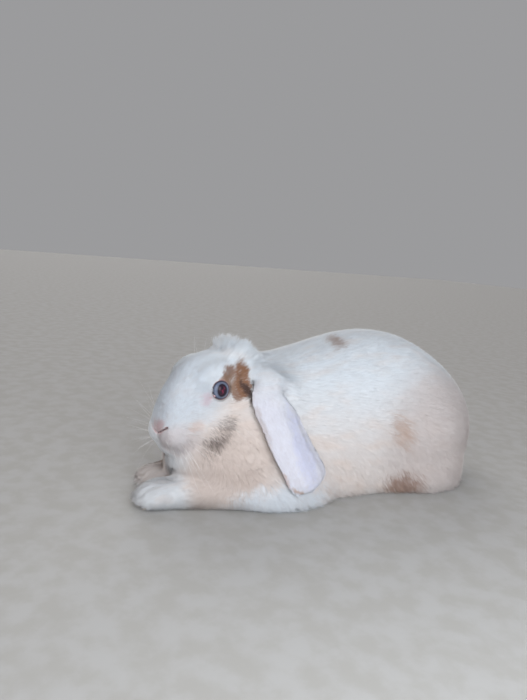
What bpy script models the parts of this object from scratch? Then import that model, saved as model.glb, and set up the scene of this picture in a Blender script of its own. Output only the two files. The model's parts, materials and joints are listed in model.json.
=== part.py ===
"""A lop-eared rabbit at rest, as a still, life-size model in metres.

It lies on its belly with the forepaws stretched out in front and the hind feet tucked under
its haunches. It faces -Y, its left side is +X, and it rests on the floor at z = 0. Every
outline here is that of the coat's tips.

The flesh is modelled whole: lofts, ellipsoids and tapered tubes are joined by a voxel remesh,
smoothed and reduced. Thin cuts then part it into the head, neck, trunk and legs. The ears,
eyes and tail are solids of their own that fit against it with the same gap.
"""

import math
from typing import NamedTuple

import bmesh
import bpy
from mathutils import Matrix, Vector

# The driving sizes.
BACK_HEIGHT = 0.1240  # floor to the top of the arched back
HAUNCH_HALF_WIDTH = 0.0690  # the widest place, over the thighs
CHEST_HALF_WIDTH = 0.0515
ELBOW_HALF_WIDTH = 0.0612
RUMP_Y = 0.1600  # the rearmost point of the coat, without the tail
NOSE_Y = -0.1390  # the foremost point of the head, before it is turned
HEAD_TOP = 0.1100
JAW_HEIGHT = 0.0300  # floor to the underside of the jaw
CHEEK_HALF_WIDTH = 0.0325
HEAD_TURN = 16.0  # degrees that the head looks to the rabbit's left
NECK_PIVOT = Vector((0.0, -0.0580, 0.0))
EYE_RADIUS = 0.0080
EYE_CENTRE = Vector((0.0178, -0.1010, 0.0837))  # the left one, before the head is turned
EAR_HALF_WIDTH = 0.0162
EAR_THICKNESS = 0.0050
EAR_LEAD = {"left": 0.0, "right": -0.0140}  # the turned head carries the right ear forward
PAW_TIP_Y = {"left": -0.1465, "right": -0.1350}  # the left paw lies further forward
PAW_X = {"left": 0.0218, "right": 0.0170}  # how far each paw lies from the middle
PAW_HEIGHT = {"left": 0.0188, "right": 0.0130}  # the right one is pressed flatter
PAW_HALF_WIDTH = 0.0152

# How the solids are made.
GAP = 0.0003  # between two solids that touch
VOXEL = 0.0021
SMOOTHING_ROUNDS = 9
FLESH_FACES = 4700  # triangles left in the whole flesh before it is parted
RING_POINTS = 40
SHARP_ANGLE = math.radians(45)
SIDES = {"left": 1.0, "right": -1.0}
FORWARD = Vector((0.0, -1.0, 0.0))

COAT_WHITE = (0.86, 0.83, 0.80)
EAR_WHITE = (0.84, 0.81, 0.82)
EYE_BLUE = (0.10, 0.13, 0.22)


class Station(NamedTuple):
    """One upright cross-section of the body: its place along Y and its four outer reaches."""

    y: float
    top: float
    bottom: float
    half_width: float
    middle: float  # the height at which it is widest


TORSO = (
    Station(-0.1120, 0.0360, -0.0060, 0.0270, 0.0160),
    Station(-0.1000, 0.0580, -0.0070, 0.0380, 0.0200),
    Station(-0.0820, 0.0860, -0.0080, 0.0455, 0.0260),
    Station(-0.0600, 0.1000, -0.0080, CHEST_HALF_WIDTH - 0.0020, 0.0300),
    Station(-0.0380, 0.1050, -0.0080, CHEST_HALF_WIDTH, 0.0310),
    Station(-0.0100, 0.1120, -0.0080, CHEST_HALF_WIDTH + 0.0025, 0.0340),
    Station(0.0200, 0.1205, -0.0080, CHEST_HALF_WIDTH + 0.0045, 0.0370),
    Station(0.0500, BACK_HEIGHT, -0.0080, 0.0590, 0.0390),
    Station(0.0780, 0.1205, -0.0080, 0.0635, 0.0400),
    Station(0.1020, 0.1110, -0.0070, 0.0620, 0.0400),
    Station(0.1260, 0.0960, -0.0040, 0.0540, 0.0400),
    Station(0.1440, 0.0790, 0.0010, 0.0420, 0.0390),
    Station(0.1550, 0.0620, 0.0110, 0.0270, 0.0380),
    Station(RUMP_Y, 0.0460, 0.0280, 0.0090, 0.0370),
)

HEAD = (
    Station(NOSE_Y, 0.0620, 0.0535, 0.0050, 0.0580),
    Station(-0.1360, 0.0725, 0.0460, 0.0115, 0.0570),
    Station(-0.1300, 0.0860, 0.0385, 0.0160, 0.0560),
    Station(-0.1200, 0.0985, 0.0330, 0.0198, 0.0580),
    Station(-0.1085, 0.1055, JAW_HEIGHT + 0.0005, 0.0228, 0.0620),
    Station(-0.0960, 0.1088, JAW_HEIGHT - 0.0005, 0.0254, 0.0650),
    Station(-0.0830, HEAD_TOP, JAW_HEIGHT, 0.0278, 0.0670),
    Station(-0.0700, 0.1092, 0.0335, 0.0285, 0.0690),
    Station(-0.0570, 0.1050, 0.0420, 0.0262, 0.0720),
    Station(-0.0475, 0.0930, 0.0580, 0.0150, 0.0750),
)

# An ear's middle, on the left: from inside the skull outwards, before the head is turned, and
# then down the side of the chest.
EAR_ROOT = (
    Vector((0.0100, -0.0660, 0.0880)),
    Vector((0.0215, -0.0665, 0.0930)),
    Vector((0.0312, -0.0650, 0.0905)),
)
EAR_HANG = (
    Vector((0.0400, -0.0580, 0.0790)),
    Vector((0.0468, -0.0522, 0.0640)),
    Vector((0.0540, -0.0468, 0.0485)),
    Vector((0.0602, -0.0405, 0.0355)),
    Vector((0.0636, -0.0350, 0.0238)),
    Vector((0.0645, -0.0312, 0.0166)),
)


# Tools


def clear_scene():
    """Removes every object that the file starts with."""
    for old in list(bpy.data.objects):
        bpy.data.objects.remove(old)


def new_collection(name, shown=True):
    """A collection under the scene's own one. Cutters go in one that isn't rendered."""
    made = bpy.data.collections.new(name)
    made.hide_render = not shown
    bpy.context.scene.collection.children.link(made)
    return made


def new_object(name, bm, collection):
    """Puts a bmesh into a new object."""
    mesh = bpy.data.meshes.new(name)
    bmesh.ops.recalc_face_normals(bm, faces=bm.faces)
    bm.to_mesh(mesh)
    bm.free()
    made = bpy.data.objects.new(name, mesh)
    collection.objects.link(made)
    if collection.hide_render:
        made.hide_render = True
        made.display_type = "WIRE"
    return made


def between(keys, share):
    """A point on a smooth curve through the keys, each a tuple of numbers, at 0 to 1 of its way."""
    place = share * (len(keys) - 1)
    low = min(int(place), len(keys) - 2)
    t = place - low
    before = keys[max(low - 1, 0)]
    start, end = keys[low], keys[low + 1]
    after = keys[min(low + 2, len(keys) - 1)]
    made = []
    for a, b, c, d in zip(before, start, end, after):
        bend = (2 * a - 5 * b + 4 * c - d) * t * t + (3 * b - a - 3 * c + d) * t**3
        made.append(b + 0.5 * ((c - a) * t + bend))
    return made


def loft(bm, rings):
    """Joins rings of the same number of points into one closed surface with flat ends."""
    rows = [[bm.verts.new(point) for point in ring] for ring in rings]
    count = len(rows[0])
    for near, far in zip(rows, rows[1:]):
        for i in range(count):
            j = (i + 1) % count
            bm.faces.new((near[i], near[j], far[j], far[i]))
    bm.faces.new(reversed(rows[0]))
    bm.faces.new(rows[-1])


def body_ring(station, upper_power, lower_power):
    """A cross-section that is round above its widest height and squarer below it."""
    points = []
    for i in range(RING_POINTS):
        turn = math.tau * i / RING_POINTS
        across, up = math.cos(turn), math.sin(turn)
        power = 2 / (upper_power if up > 0 else lower_power)
        reach = station.top - station.middle if up > 0 else station.middle - station.bottom
        x = station.half_width * math.copysign(abs(across) ** power, across)
        z = station.middle + reach * math.copysign(abs(up) ** power, up)
        points.append(Vector((x, station.y, z)))
    return points


def body_loft(bm, stations, upper_power, lower_power, rings=44):
    """A loft through stations along Y, with as many rings between them as it takes."""
    shares = [i / (rings - 1) for i in range(rings)]
    sections = [Station(*between(stations, share)) for share in shares]
    loft(bm, [body_ring(section, upper_power, lower_power) for section in sections])


def ellipsoid(bm, centre, radii, tilt=0.0, turn=0.0, detail=4):
    """An ellipsoid tilted about X, nose down if positive, and then turned about Z, in degrees."""
    place = Matrix.Translation(centre)
    place @= Matrix.Rotation(math.radians(turn), 4, "Z")
    place @= Matrix.Rotation(math.radians(tilt), 4, "X")
    place @= Matrix.Diagonal((*radii, 1.0))
    bmesh.ops.create_icosphere(bm, subdivisions=detail, radius=1.0, matrix=place)


def limb(bm, joints):
    """A tube through (point, radius) pairs, with a ball at each."""
    keys = [(*point, radius) for point, radius in joints]
    steps = 6 * (len(keys) - 1)
    for i in range(steps + 1):
        x, y, z, radius = between(keys, i / steps)
        ellipsoid(bm, (x, y, z), (radius, radius, radius), detail=3)


def evaluated(thing):
    """The mesh of an object with its modifiers applied, as a new mesh."""
    graph = bpy.context.evaluated_depsgraph_get()
    return bpy.data.meshes.new_from_object(thing.evaluated_get(graph))


def apply_modifiers(thing):
    """Turns an object's modifiers into plain geometry."""
    mesh = evaluated(thing)
    thing.modifiers.clear()
    thing.data = mesh
    return thing


def fuse(thing, voxel, rounds):
    """Makes one skin of overlapping shells and rounds the creases between them."""
    remesh = thing.modifiers.new("fuse", "REMESH")
    remesh.mode = "VOXEL"
    remesh.voxel_size = voxel
    smooth = thing.modifiers.new("soften", "SMOOTH")
    smooth.factor = 0.5
    smooth.iterations = rounds
    return apply_modifiers(thing)


def reduce_to(thing, faces):
    """Collapses edges until about this many triangles are left."""
    thing.data.calc_loop_triangles()
    fewer = thing.modifiers.new("reduce", "DECIMATE")
    fewer.ratio = min(1.0, faces / len(thing.data.loop_triangles))
    fewer.use_collapse_triangulate = True
    return apply_modifiers(thing)


def level_off(thing):
    """Cuts away what is under the floor and closes the cuts with flats at z = 0."""
    bm = bmesh.new()
    bm.from_mesh(thing.data)
    geometry = [*bm.verts, *bm.edges, *bm.faces]
    cut = bmesh.ops.bisect_plane(
        bm, geom=geometry, dist=1e-6, plane_co=(0, 0, 0), plane_no=(0, 0, 1), clear_inner=True
    )
    edges = [item for item in cut["geom_cut"] if isinstance(item, bmesh.types.BMEdge)]
    bmesh.ops.holes_fill(bm, edges=edges, sides=0)
    bmesh.ops.triangulate(bm, faces=[face for face in bm.faces if len(face.verts) > 3])
    bmesh.ops.recalc_face_normals(bm, faces=bm.faces)
    bm.to_mesh(thing.data)
    bm.free()
    return thing


def combine(thing, cutter, operation):
    """Applies one exact Boolean."""
    boolean = thing.modifiers.new(operation.lower(), "BOOLEAN")
    boolean.operation = operation
    boolean.solver = "EXACT"
    boolean.object = cutter
    return apply_modifiers(thing)


def grown(thing, collection, by=GAP):
    """A copy of a solid whose surface stands out by a gap, to cut its neighbour with."""
    bm = bmesh.new()
    bm.from_mesh(thing.data)
    bmesh.ops.recalc_face_normals(bm, faces=bm.faces)
    bm.normal_update()
    for vertex in bm.verts:
        vertex.co += vertex.normal * by * 1.25
    return new_object(thing.name + "_cutter", bm, collection)


def largest_body(thing):
    """Drops the crumbs that a cut may leave beside the main body of a solid."""
    bm = bmesh.new()
    bm.from_mesh(thing.data)
    bmesh.ops.remove_doubles(bm, verts=bm.verts, dist=1e-6)
    left, groups = set(bm.verts), []
    while left:
        stack, group = [left.pop()], []
        while stack:
            vertex = stack.pop()
            group.append(vertex)
            near = {edge.other_vert(vertex) for edge in vertex.link_edges} & left
            left -= near
            stack += near
        groups.append(group)
    groups.sort(key=len)
    crumbs = [vertex for group in groups[:-1] for vertex in group]
    bmesh.ops.delete(bm, geom=crumbs, context="VERTS")
    bm.to_mesh(thing.data)
    bm.free()
    return thing


def coat_material(name, colour, roughness=0.9):
    """A plain Principled finish."""
    made = bpy.data.materials.new(name)
    made.use_nodes = True
    shader = made.node_tree.nodes["Principled BSDF"]
    shader.inputs["Base Color"].default_value = (*colour, 1.0)
    shader.inputs["Roughness"].default_value = roughness
    shader.inputs["Metallic"].default_value = 0.0
    return made


# The forms of the rabbit


def head_turned(point):
    """Where a point of the straight head comes to lie when the head looks to the left."""
    turn = Matrix.Rotation(math.radians(HEAD_TURN), 3, "Z")
    return NECK_PIVOT + turn @ (Vector(point) - NECK_PIVOT)


def add_head(bm):
    """The skull, cheeks, whisker pads, chin and the crown between the ears."""
    head = bmesh.new()
    body_loft(head, HEAD, upper_power=2.1, lower_power=2.3, rings=36)
    for side in SIDES.values():
        cheek_x = CHEEK_HALF_WIDTH - 0.0185
        ellipsoid(head, (side * cheek_x, -0.0900, 0.0540), (0.0185, 0.0260, 0.0225), tilt=10)
        ellipsoid(head, (side * 0.0078, -0.1265, 0.0525), (0.0096, 0.0120, 0.0112), turn=side * 14)
        ellipsoid(head, (side * 0.0125, -0.1030, 0.0925), (0.0108, 0.0180, 0.0105), tilt=20)
    ellipsoid(head, (0.0, -0.1205, 0.0405), (0.0135, 0.0112, 0.0085))
    ellipsoid(head, (0.0, -0.0760, 0.1030), (0.0190, 0.0170, 0.0125))
    for vertex in head.verts:
        vertex.co = head_turned(vertex.co)
    mesh = bpy.data.meshes.new("head_form")
    head.to_mesh(mesh)
    head.free()
    bm.from_mesh(mesh)
    bpy.data.meshes.remove(mesh)


def add_neck(bm):
    """The thick fold of coat that carries the head's back into the shoulders."""
    ellipsoid(bm, (0.0020, -0.0480, 0.0660), (0.0430, 0.0360, 0.0400), tilt=-18)


def add_chest(bm):
    """The breast over the forearms, and the throat's coat that fills the fold under the chin."""
    ellipsoid(bm, (0.0020, -0.0780, 0.0270), (0.0470, 0.0420, 0.0330))
    ellipsoid(bm, (0.0110, -0.0970, 0.0330), (0.0300, 0.0280, 0.0165), turn=HEAD_TURN)


def foreleg_joints(side):
    """Elbow, forearm, wrist and knuckles of one foreleg, each with its radius."""
    x, tip, paw_x, radius = SIDES[side], PAW_TIP_Y[side], PAW_X[side], PAW_HEIGHT[side] / 2
    return (
        (Vector((x * 0.0420, -0.0600, 0.0170)), 0.0190),
        (Vector((x * 0.0350, -0.0900, 0.0120)), 0.0132),
        (Vector((x * (paw_x + 0.0070), tip + 0.0310, radius)), radius + 0.0012),
        (Vector((x * (paw_x + 0.0012), tip + 0.0160, radius - 0.0004)), radius + 0.0006),
    )


def add_foreleg(bm, side):
    """An elbow under the coat, a forearm laid forward and inward, and a broad round paw."""
    x, tip, paw_x, radius = SIDES[side], PAW_TIP_Y[side], PAW_X[side], PAW_HEIGHT[side] / 2
    limb(bm, foreleg_joints(side))
    elbow = (x * (ELBOW_HALF_WIDTH - 0.0190), -0.0415, 0.0150)
    ellipsoid(bm, elbow, (0.0190, 0.0445, 0.0250))
    ellipsoid(bm, (x * 0.0330, -0.0450, 0.0360), (0.0170, 0.0260, 0.0300), tilt=20)
    paw = (PAW_HALF_WIDTH, 0.0175, radius)
    ellipsoid(bm, (x * paw_x, tip + 0.0175, radius), paw, turn=x * 14)
    for toe in range(4):
        spread = (toe - 1.5) * 0.0066
        back = 0.0050 + 0.0018 * abs(toe - 1.5)
        place = (x * (paw_x - 0.0020) + spread, tip + back, 0.62 * radius)
        ellipsoid(bm, place, (0.0042, 0.0066, 0.62 * radius))


def add_hind_leg(bm, side):
    """The folded thigh and the long foot that lies flat under it."""
    x = SIDES[side]
    thigh_x = HAUNCH_HALF_WIDTH - 0.0335
    ellipsoid(bm, (x * thigh_x, 0.0860, 0.0400), (0.0335, 0.0480, 0.0445), tilt=14)
    ellipsoid(bm, (x * 0.0395, 0.0910, 0.0180), (0.0292, 0.0440, 0.0260))
    ellipsoid(bm, (x * 0.0360, 0.0560, 0.0300), (0.0210, 0.0260, 0.0260), tilt=30)
    foot = (
        (Vector((x * 0.0440, 0.1080, 0.0110)), 0.0150),
        (Vector((x * 0.0455, 0.0820, 0.0090)), 0.0130),
        (Vector((x * 0.0440, 0.0600, 0.0075)), 0.0108),
    )
    limb(bm, foot)
    ellipsoid(bm, (x * 0.0435, 0.0545, 0.0068), (0.0112, 0.0140, 0.0078))


def whole_flesh(collection):
    """Everything but the ears, eyes and tail, fused into one skin with level undersides."""
    bm = bmesh.new()
    body_loft(bm, TORSO, upper_power=2.1, lower_power=3.2)
    add_head(bm)
    add_neck(bm)
    add_chest(bm)
    for side in SIDES:
        add_foreleg(bm, side)
        add_hind_leg(bm, side)
    flesh = fuse(new_object("flesh", bm, collection), VOXEL, SMOOTHING_ROUNDS)
    return level_off(reduce_to(flesh, FLESH_FACES))


def ear_centre_line(side):
    """The middle of an ear from inside the skull to its tip beside the chest."""
    x = SIDES[side]
    root = [head_turned((x * point.x, point.y, point.z)) for point in EAR_ROOT]
    hang = [Vector((x * point.x, point.y + EAR_LEAD[side], point.z)) for point in EAR_HANG]
    return root + hang


def ear_half_width(share):
    """Half the ear's width at 0 to 1 of its length: a narrow root, a broad blade, a round tip."""
    root = 0.55 + 0.45 * min(1.0, share / 0.42)
    tip = math.sqrt(max(0.0, 1.0 - max(0.0, (share - 0.80) / 0.205) ** 2))
    return EAR_HALF_WIDTH * root * max(tip, 0.10)


def ear_thickness(share):
    """The ear's thickness: stout at the root, thinner towards the rim of the tip."""
    stout = 1.6 - 0.6 * min(1.0, share / 0.30)
    return EAR_THICKNESS * stout * (0.55 + 0.45 * ear_half_width(share) / EAR_HALF_WIDTH)


def ear_ring(line, share, x, points):
    """One cross-section of an ear, which bulges outwards between its two edges."""
    middle = Vector(between(line, share))
    ahead = Vector(between(line, min(share + 0.02, 1.0)))
    behind = Vector(between(line, max(share - 0.02, 0.0)))
    along = (ahead - behind).normalized()
    across = (FORWARD - along * FORWARD.dot(along)).normalized()
    face = x * across.cross(along)
    half = ear_half_width(share)
    ring = []
    for i in range(points):
        turn = math.tau * i / points
        sideways = math.cos(turn)
        bulge = half * (0.18 - 0.30 * sideways**2)
        out = bulge + 0.5 * ear_thickness(share) * math.sin(turn)
        ring.append(middle + across * half * sideways + face * out)
    return ring


def make_ear(side, collection, rings=22, points=12):
    """One hanging ear: a long blade, thick at the root and thin at the rim."""
    line = ear_centre_line(side)
    bm = bmesh.new()
    loft(bm, [ear_ring(line, i / (rings - 1), SIDES[side], points) for i in range(rings)])
    bmesh.ops.triangulate(bm, faces=[face for face in bm.faces if len(face.verts) > 4])
    return new_object("ear_" + side, bm, collection)


def make_eye(side, collection):
    """The eyeball. Its outer cap shows between the lids."""
    bm = bmesh.new()
    centre = head_turned((SIDES[side] * EYE_CENTRE.x, EYE_CENTRE.y, EYE_CENTRE.z))
    place = Matrix.Translation(centre) @ Matrix.Rotation(math.radians(90), 4, "Y")
    bmesh.ops.create_uvsphere(bm, u_segments=14, v_segments=9, radius=EYE_RADIUS, matrix=place)
    return new_object("eye_" + side, bm, collection)


def make_tail(collection):
    """The short, full tail, carried up against the rump."""
    bm = bmesh.new()
    ellipsoid(bm, (0.0, RUMP_Y - 0.0020, 0.0370), (0.0160, 0.0120, 0.0210), tilt=-12, detail=2)
    return new_object("tail", bm, collection)


# Parting the flesh


def head_region(bm, extra):
    """An egg round the head, which leaves the breast outside."""
    centre = head_turned((0.0, -0.1060, 0.0790))
    radii = [radius + extra for radius in (0.0540, 0.0530, 0.0515)]
    ellipsoid(bm, centre, radii, turn=HEAD_TURN, detail=2)


def neck_region(bm, extra):
    """What the head leaves of a larger egg behind it."""
    radii = [radius + extra for radius in (0.0620, 0.0460, 0.0500)]
    ellipsoid(bm, (0.0040, -0.0740, 0.0840), radii, turn=HEAD_TURN / 2, detail=2)


def foreleg_region(side):
    """A long egg round one forearm and paw, turned with them."""
    x, tip = SIDES[side], PAW_TIP_Y[side]

    def region(bm, extra):
        centre = (x * 0.0290, (tip - 0.0400) / 2, 0.0080)
        radii = [radius + extra for radius in (0.0265, 0.0640, 0.0290)]
        ellipsoid(bm, centre, radii, turn=-x * 15.0, detail=2)

    return region


def hind_leg_region(side):
    """An oval plug pushed in from the side, round the thigh and foot."""
    x = SIDES[side]

    def region(bm, extra):
        place = Matrix.Translation((x * 0.0600, 0.0840, 0.0300))
        place @= Matrix.Rotation(math.radians(90), 4, "Y")
        place @= Matrix.Diagonal((0.0520 + extra, 0.0570 + extra, 1.0, 1.0))
        depth = 2 * (0.0380 + extra)
        bmesh.ops.create_cone(
            bm, cap_ends=True, segments=32, radius1=1.0, radius2=1.0, depth=depth, matrix=place
        )

    return region


def regions():
    """Each named part of the flesh with the region that it fills, in cutting order."""
    yield "head", head_region
    for side in SIDES:
        yield "foreleg_" + side, foreleg_region(side)
        yield "hind_leg_" + side, hind_leg_region(side)
    yield "neck", neck_region


def region_cutter(name, region, extra, collection):
    """A region as a solid that can cut."""
    bm = bmesh.new()
    region(bm, extra)
    return new_object(name, bm, collection)


def part_flesh(flesh, collection, cutters):
    """Cuts the whole flesh into its named parts. What is left over is the trunk."""
    parts = {}
    for name, region in regions():
        inside = region_cutter(name + "_inside", region, 0.0, cutters)
        outside = region_cutter(name + "_outside", region, GAP, cutters)
        part = bpy.data.objects.new(name, flesh.data.copy())
        collection.objects.link(part)
        parts[name] = largest_body(combine(part, inside, "INTERSECT"))
        combine(flesh, outside, "DIFFERENCE")
    flesh.name = "trunk"
    parts["trunk"] = largest_body(flesh)
    return parts


def centre_on_floor(parts):
    """Shifts all parts so that the origin is under the middle of the whole rabbit."""
    points = [vertex.co for part in parts for vertex in part.data.vertices]
    low = Vector([min(point[k] for point in points) for k in range(3)])
    high = Vector([max(point[k] for point in points) for k in range(3)])
    shift = Vector((-(low.x + high.x) / 2, -(low.y + high.y) / 2, -low.z))
    for part in parts:
        part.data.transform(Matrix.Translation(shift))


def main():
    clear_scene()
    rabbit = new_collection("lop_rabbit")
    cutters = new_collection("cutters", shown=False)
    flesh = whole_flesh(rabbit)
    tail = make_tail(rabbit)
    combine(tail, grown(flesh, cutters), "DIFFERENCE")
    extras = {"tail": largest_body(tail)}
    for side in SIDES:
        ear = make_ear(side, rabbit)
        extras["ear_" + side] = largest_body(combine(ear, grown(flesh, cutters), "DIFFERENCE"))
        eye = make_eye(side, rabbit)
        extras["eye_" + side] = eye
        combine(flesh, grown(eye, cutters), "DIFFERENCE")
    parts = part_flesh(flesh, rabbit, cutters) | extras
    centre_on_floor(parts.values())

    coat = coat_material("white_coat", COAT_WHITE)
    ear_coat = coat_material("ear_coat", EAR_WHITE, 0.8)
    eye_finish = coat_material("eye", EYE_BLUE, 0.08)
    for name, part in parts.items():
        part.data.materials.clear()
        finish = ear_coat if name.startswith("ear") else coat
        part.data.materials.append(eye_finish if name.startswith("eye") else finish)
        part.data.shade_smooth()
        part.data.set_sharp_from_angle(angle=SHARP_ANGLE)


main()
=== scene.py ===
"""The looks of a lop-eared rabbit that lies at rest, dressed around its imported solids.

One skin stands for all the flesh and lies under the solids' outline by the depth of the coat.
Its head carries the lids, nostrils, lips and whisker pads. The coat is made of thin tapered
tufts that follow the lie of the hair, in one joined mesh for each part of the body. The
rabbit faces -Y, its left side is +X, and it rests on the floor at z = 0, in metres.
"""

import json
import logging
import math
from dataclasses import dataclass, field
from enum import Enum

import bmesh
import bpy
import numpy as np
from mathutils import Matrix, Vector
from mathutils.bvhtree import BVHTree
from mathutils.kdtree import KDTree

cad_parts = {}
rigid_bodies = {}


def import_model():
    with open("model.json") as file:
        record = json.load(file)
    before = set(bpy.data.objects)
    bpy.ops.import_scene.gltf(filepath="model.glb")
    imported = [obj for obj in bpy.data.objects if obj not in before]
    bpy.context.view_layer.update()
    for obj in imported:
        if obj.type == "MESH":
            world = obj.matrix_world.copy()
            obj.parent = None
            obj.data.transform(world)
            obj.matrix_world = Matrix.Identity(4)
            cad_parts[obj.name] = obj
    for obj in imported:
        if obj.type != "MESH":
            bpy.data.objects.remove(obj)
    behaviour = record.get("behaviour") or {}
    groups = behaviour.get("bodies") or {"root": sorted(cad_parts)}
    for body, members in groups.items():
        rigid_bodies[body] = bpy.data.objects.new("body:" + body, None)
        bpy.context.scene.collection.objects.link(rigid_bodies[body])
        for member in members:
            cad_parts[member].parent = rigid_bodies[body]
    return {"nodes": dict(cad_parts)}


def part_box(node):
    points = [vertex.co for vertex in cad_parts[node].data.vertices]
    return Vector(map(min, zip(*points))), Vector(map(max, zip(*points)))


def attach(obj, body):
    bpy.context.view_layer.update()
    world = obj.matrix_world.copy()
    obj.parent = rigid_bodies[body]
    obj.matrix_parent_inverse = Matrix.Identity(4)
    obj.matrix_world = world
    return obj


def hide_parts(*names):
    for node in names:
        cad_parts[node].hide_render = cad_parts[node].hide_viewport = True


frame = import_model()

Array = np.ndarray
Triple = tuple[float, float, float]
Colour = tuple[float, float, float]

LOG = logging.getLogger("rabbit")
SIDES: dict[str, float] = {"left": 1.0, "right": -1.0}
BODY = "root"
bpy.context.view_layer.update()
MM = 0.001
BAKE_MAP = "OFBake"
BAKE_PATCH = 0.003  # the width of one tuft's patch in the bake map
WHITE: Colour = (1.0, 1.0, 1.0)


class Region(Enum):
    """The parts of the body whose coats differ, each with its solids."""

    HEAD = ("head",)
    NECK = ("neck",)
    TRUNK = ("trunk",)
    TAIL = ("tail",)
    FORELEG = ("foreleg_left", "foreleg_right")
    HIND_LEG = ("hind_leg_left", "hind_leg_right")
    EAR = ("ear_left", "ear_right")


REGIONS = tuple(Region)
INDEX = {region: index for index, region in enumerate(REGIONS)}
FLESH = tuple(name for region in REGIONS for name in region.value)


# Small tools on arrays of points


def unit(vectors: Array) -> Array:
    """Vectors scaled to a length of 1."""
    return vectors / np.maximum(np.linalg.norm(vectors, axis=-1, keepdims=True), 1e-12)


def rise(values: Array, low: float, high: float) -> Array:
    """Values eased from 0 at low to 1 at high.

    Args:
        values: The numbers to ease.
        low: Where the result leaves 0. It may be above high, for a falling step.
        high: Where the result reaches 1.

    Returns:
        A smooth step of the same shape as the values.
    """
    t = np.clip((values - low) / (high - low), 0.0, 1.0)
    return t * t * (3.0 - 2.0 * t)


def hump(distances: Array, reach: float) -> Array:
    """A bell that is 1 at no distance and about a third at the reach."""
    return np.exp(-((distances / reach) ** 2))


def blend(first: Array, second: Array, share: Array) -> Array:
    """First where the share is 0 and second where it is 1."""
    return first + (second - first) * share


def gap_to(points: Array, place: Array | Triple) -> Array:
    """The distance of each point from a place."""
    return np.linalg.norm(points - np.asarray(place), axis=1)


def mirrored(place: Triple, side: float) -> Array:
    """A place or direction of the left side, on either side."""
    return np.array(place) * np.array([side, 1.0, 1.0])


def away_from_line(points: Array, line: Array) -> Array:
    """The distance of each point from a line of straight pieces.

    Args:
        points: Points, one a row.
        line: The line's own corners, one a row.

    Returns:
        One distance for each point.
    """
    best = np.full(len(points), np.inf)
    for start, end in zip(line, line[1:]):
        way = end - start
        share = np.clip((points - start) @ way / max(way @ way, 1e-15), 0.0, 1.0)
        best = np.minimum(best, np.linalg.norm(points - start - share[:, None] * way, axis=1))
    return best


def swirl(points: Array, scale: float, seed: int) -> Array:
    """A smooth wandering number from -1 to 1, the same for the same place.

    Args:
        points: Points, one a row.
        scale: The size of its waves in metres.
        seed: Which of the fields it is.

    Returns:
        One number for each point.
    """
    waves, gain = 6, 1.6
    rng = np.random.default_rng(seed)
    total = np.zeros(len(points))
    for _ in range(waves):
        wave = rng.normal(size=3) / scale
        total += np.sin(points @ wave + rng.uniform(0, math.tau))
    return total / waves * gain


# Shader graphs


class Value:
    """A socket that holds a number, with sums that add Math nodes."""

    def __init__(self, graph: "Graph", socket: bpy.types.NodeSocket) -> None:
        """Wraps a socket of a graph."""
        self.graph, self.socket = graph, socket

    def _math(self, operation: str, first: "Number", second: "Number") -> "Value":
        """One Math node on two numbers or sockets."""
        made = self.graph.node("ShaderNodeMath", {"operation": operation}, {0: first, 1: second})
        return Value(self.graph, made.outputs[0])

    def __add__(self, other: "Number") -> "Value":
        """self + other."""
        return self._math("ADD", self, other)

    def __radd__(self, other: "Number") -> "Value":
        """other + self."""
        return self._math("ADD", other, self)

    def __sub__(self, other: "Number") -> "Value":
        """self - other."""
        return self._math("SUBTRACT", self, other)

    def __rsub__(self, other: "Number") -> "Value":
        """other - self."""
        return self._math("SUBTRACT", other, self)

    def __mul__(self, other: "Number") -> "Value":
        """self * other."""
        return self._math("MULTIPLY", self, other)

    def __rmul__(self, other: "Number") -> "Value":
        """other * self."""
        return self._math("MULTIPLY", other, self)

    def highest(self, other: "Number") -> "Value":
        """The greater of the two."""
        return self._math("MAXIMUM", self, other)

    def step(self, low: float, high: float) -> "Value":
        """A smooth step from 0 at low to 1 at high."""
        settings = {"interpolation_type": "SMOOTHSTEP"}
        inputs = {"Value": self, "From Min": low, "From Max": high}
        return Value(self.graph, self.graph.node("ShaderNodeMapRange", settings, inputs).outputs[0])


Number = Value | float


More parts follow.
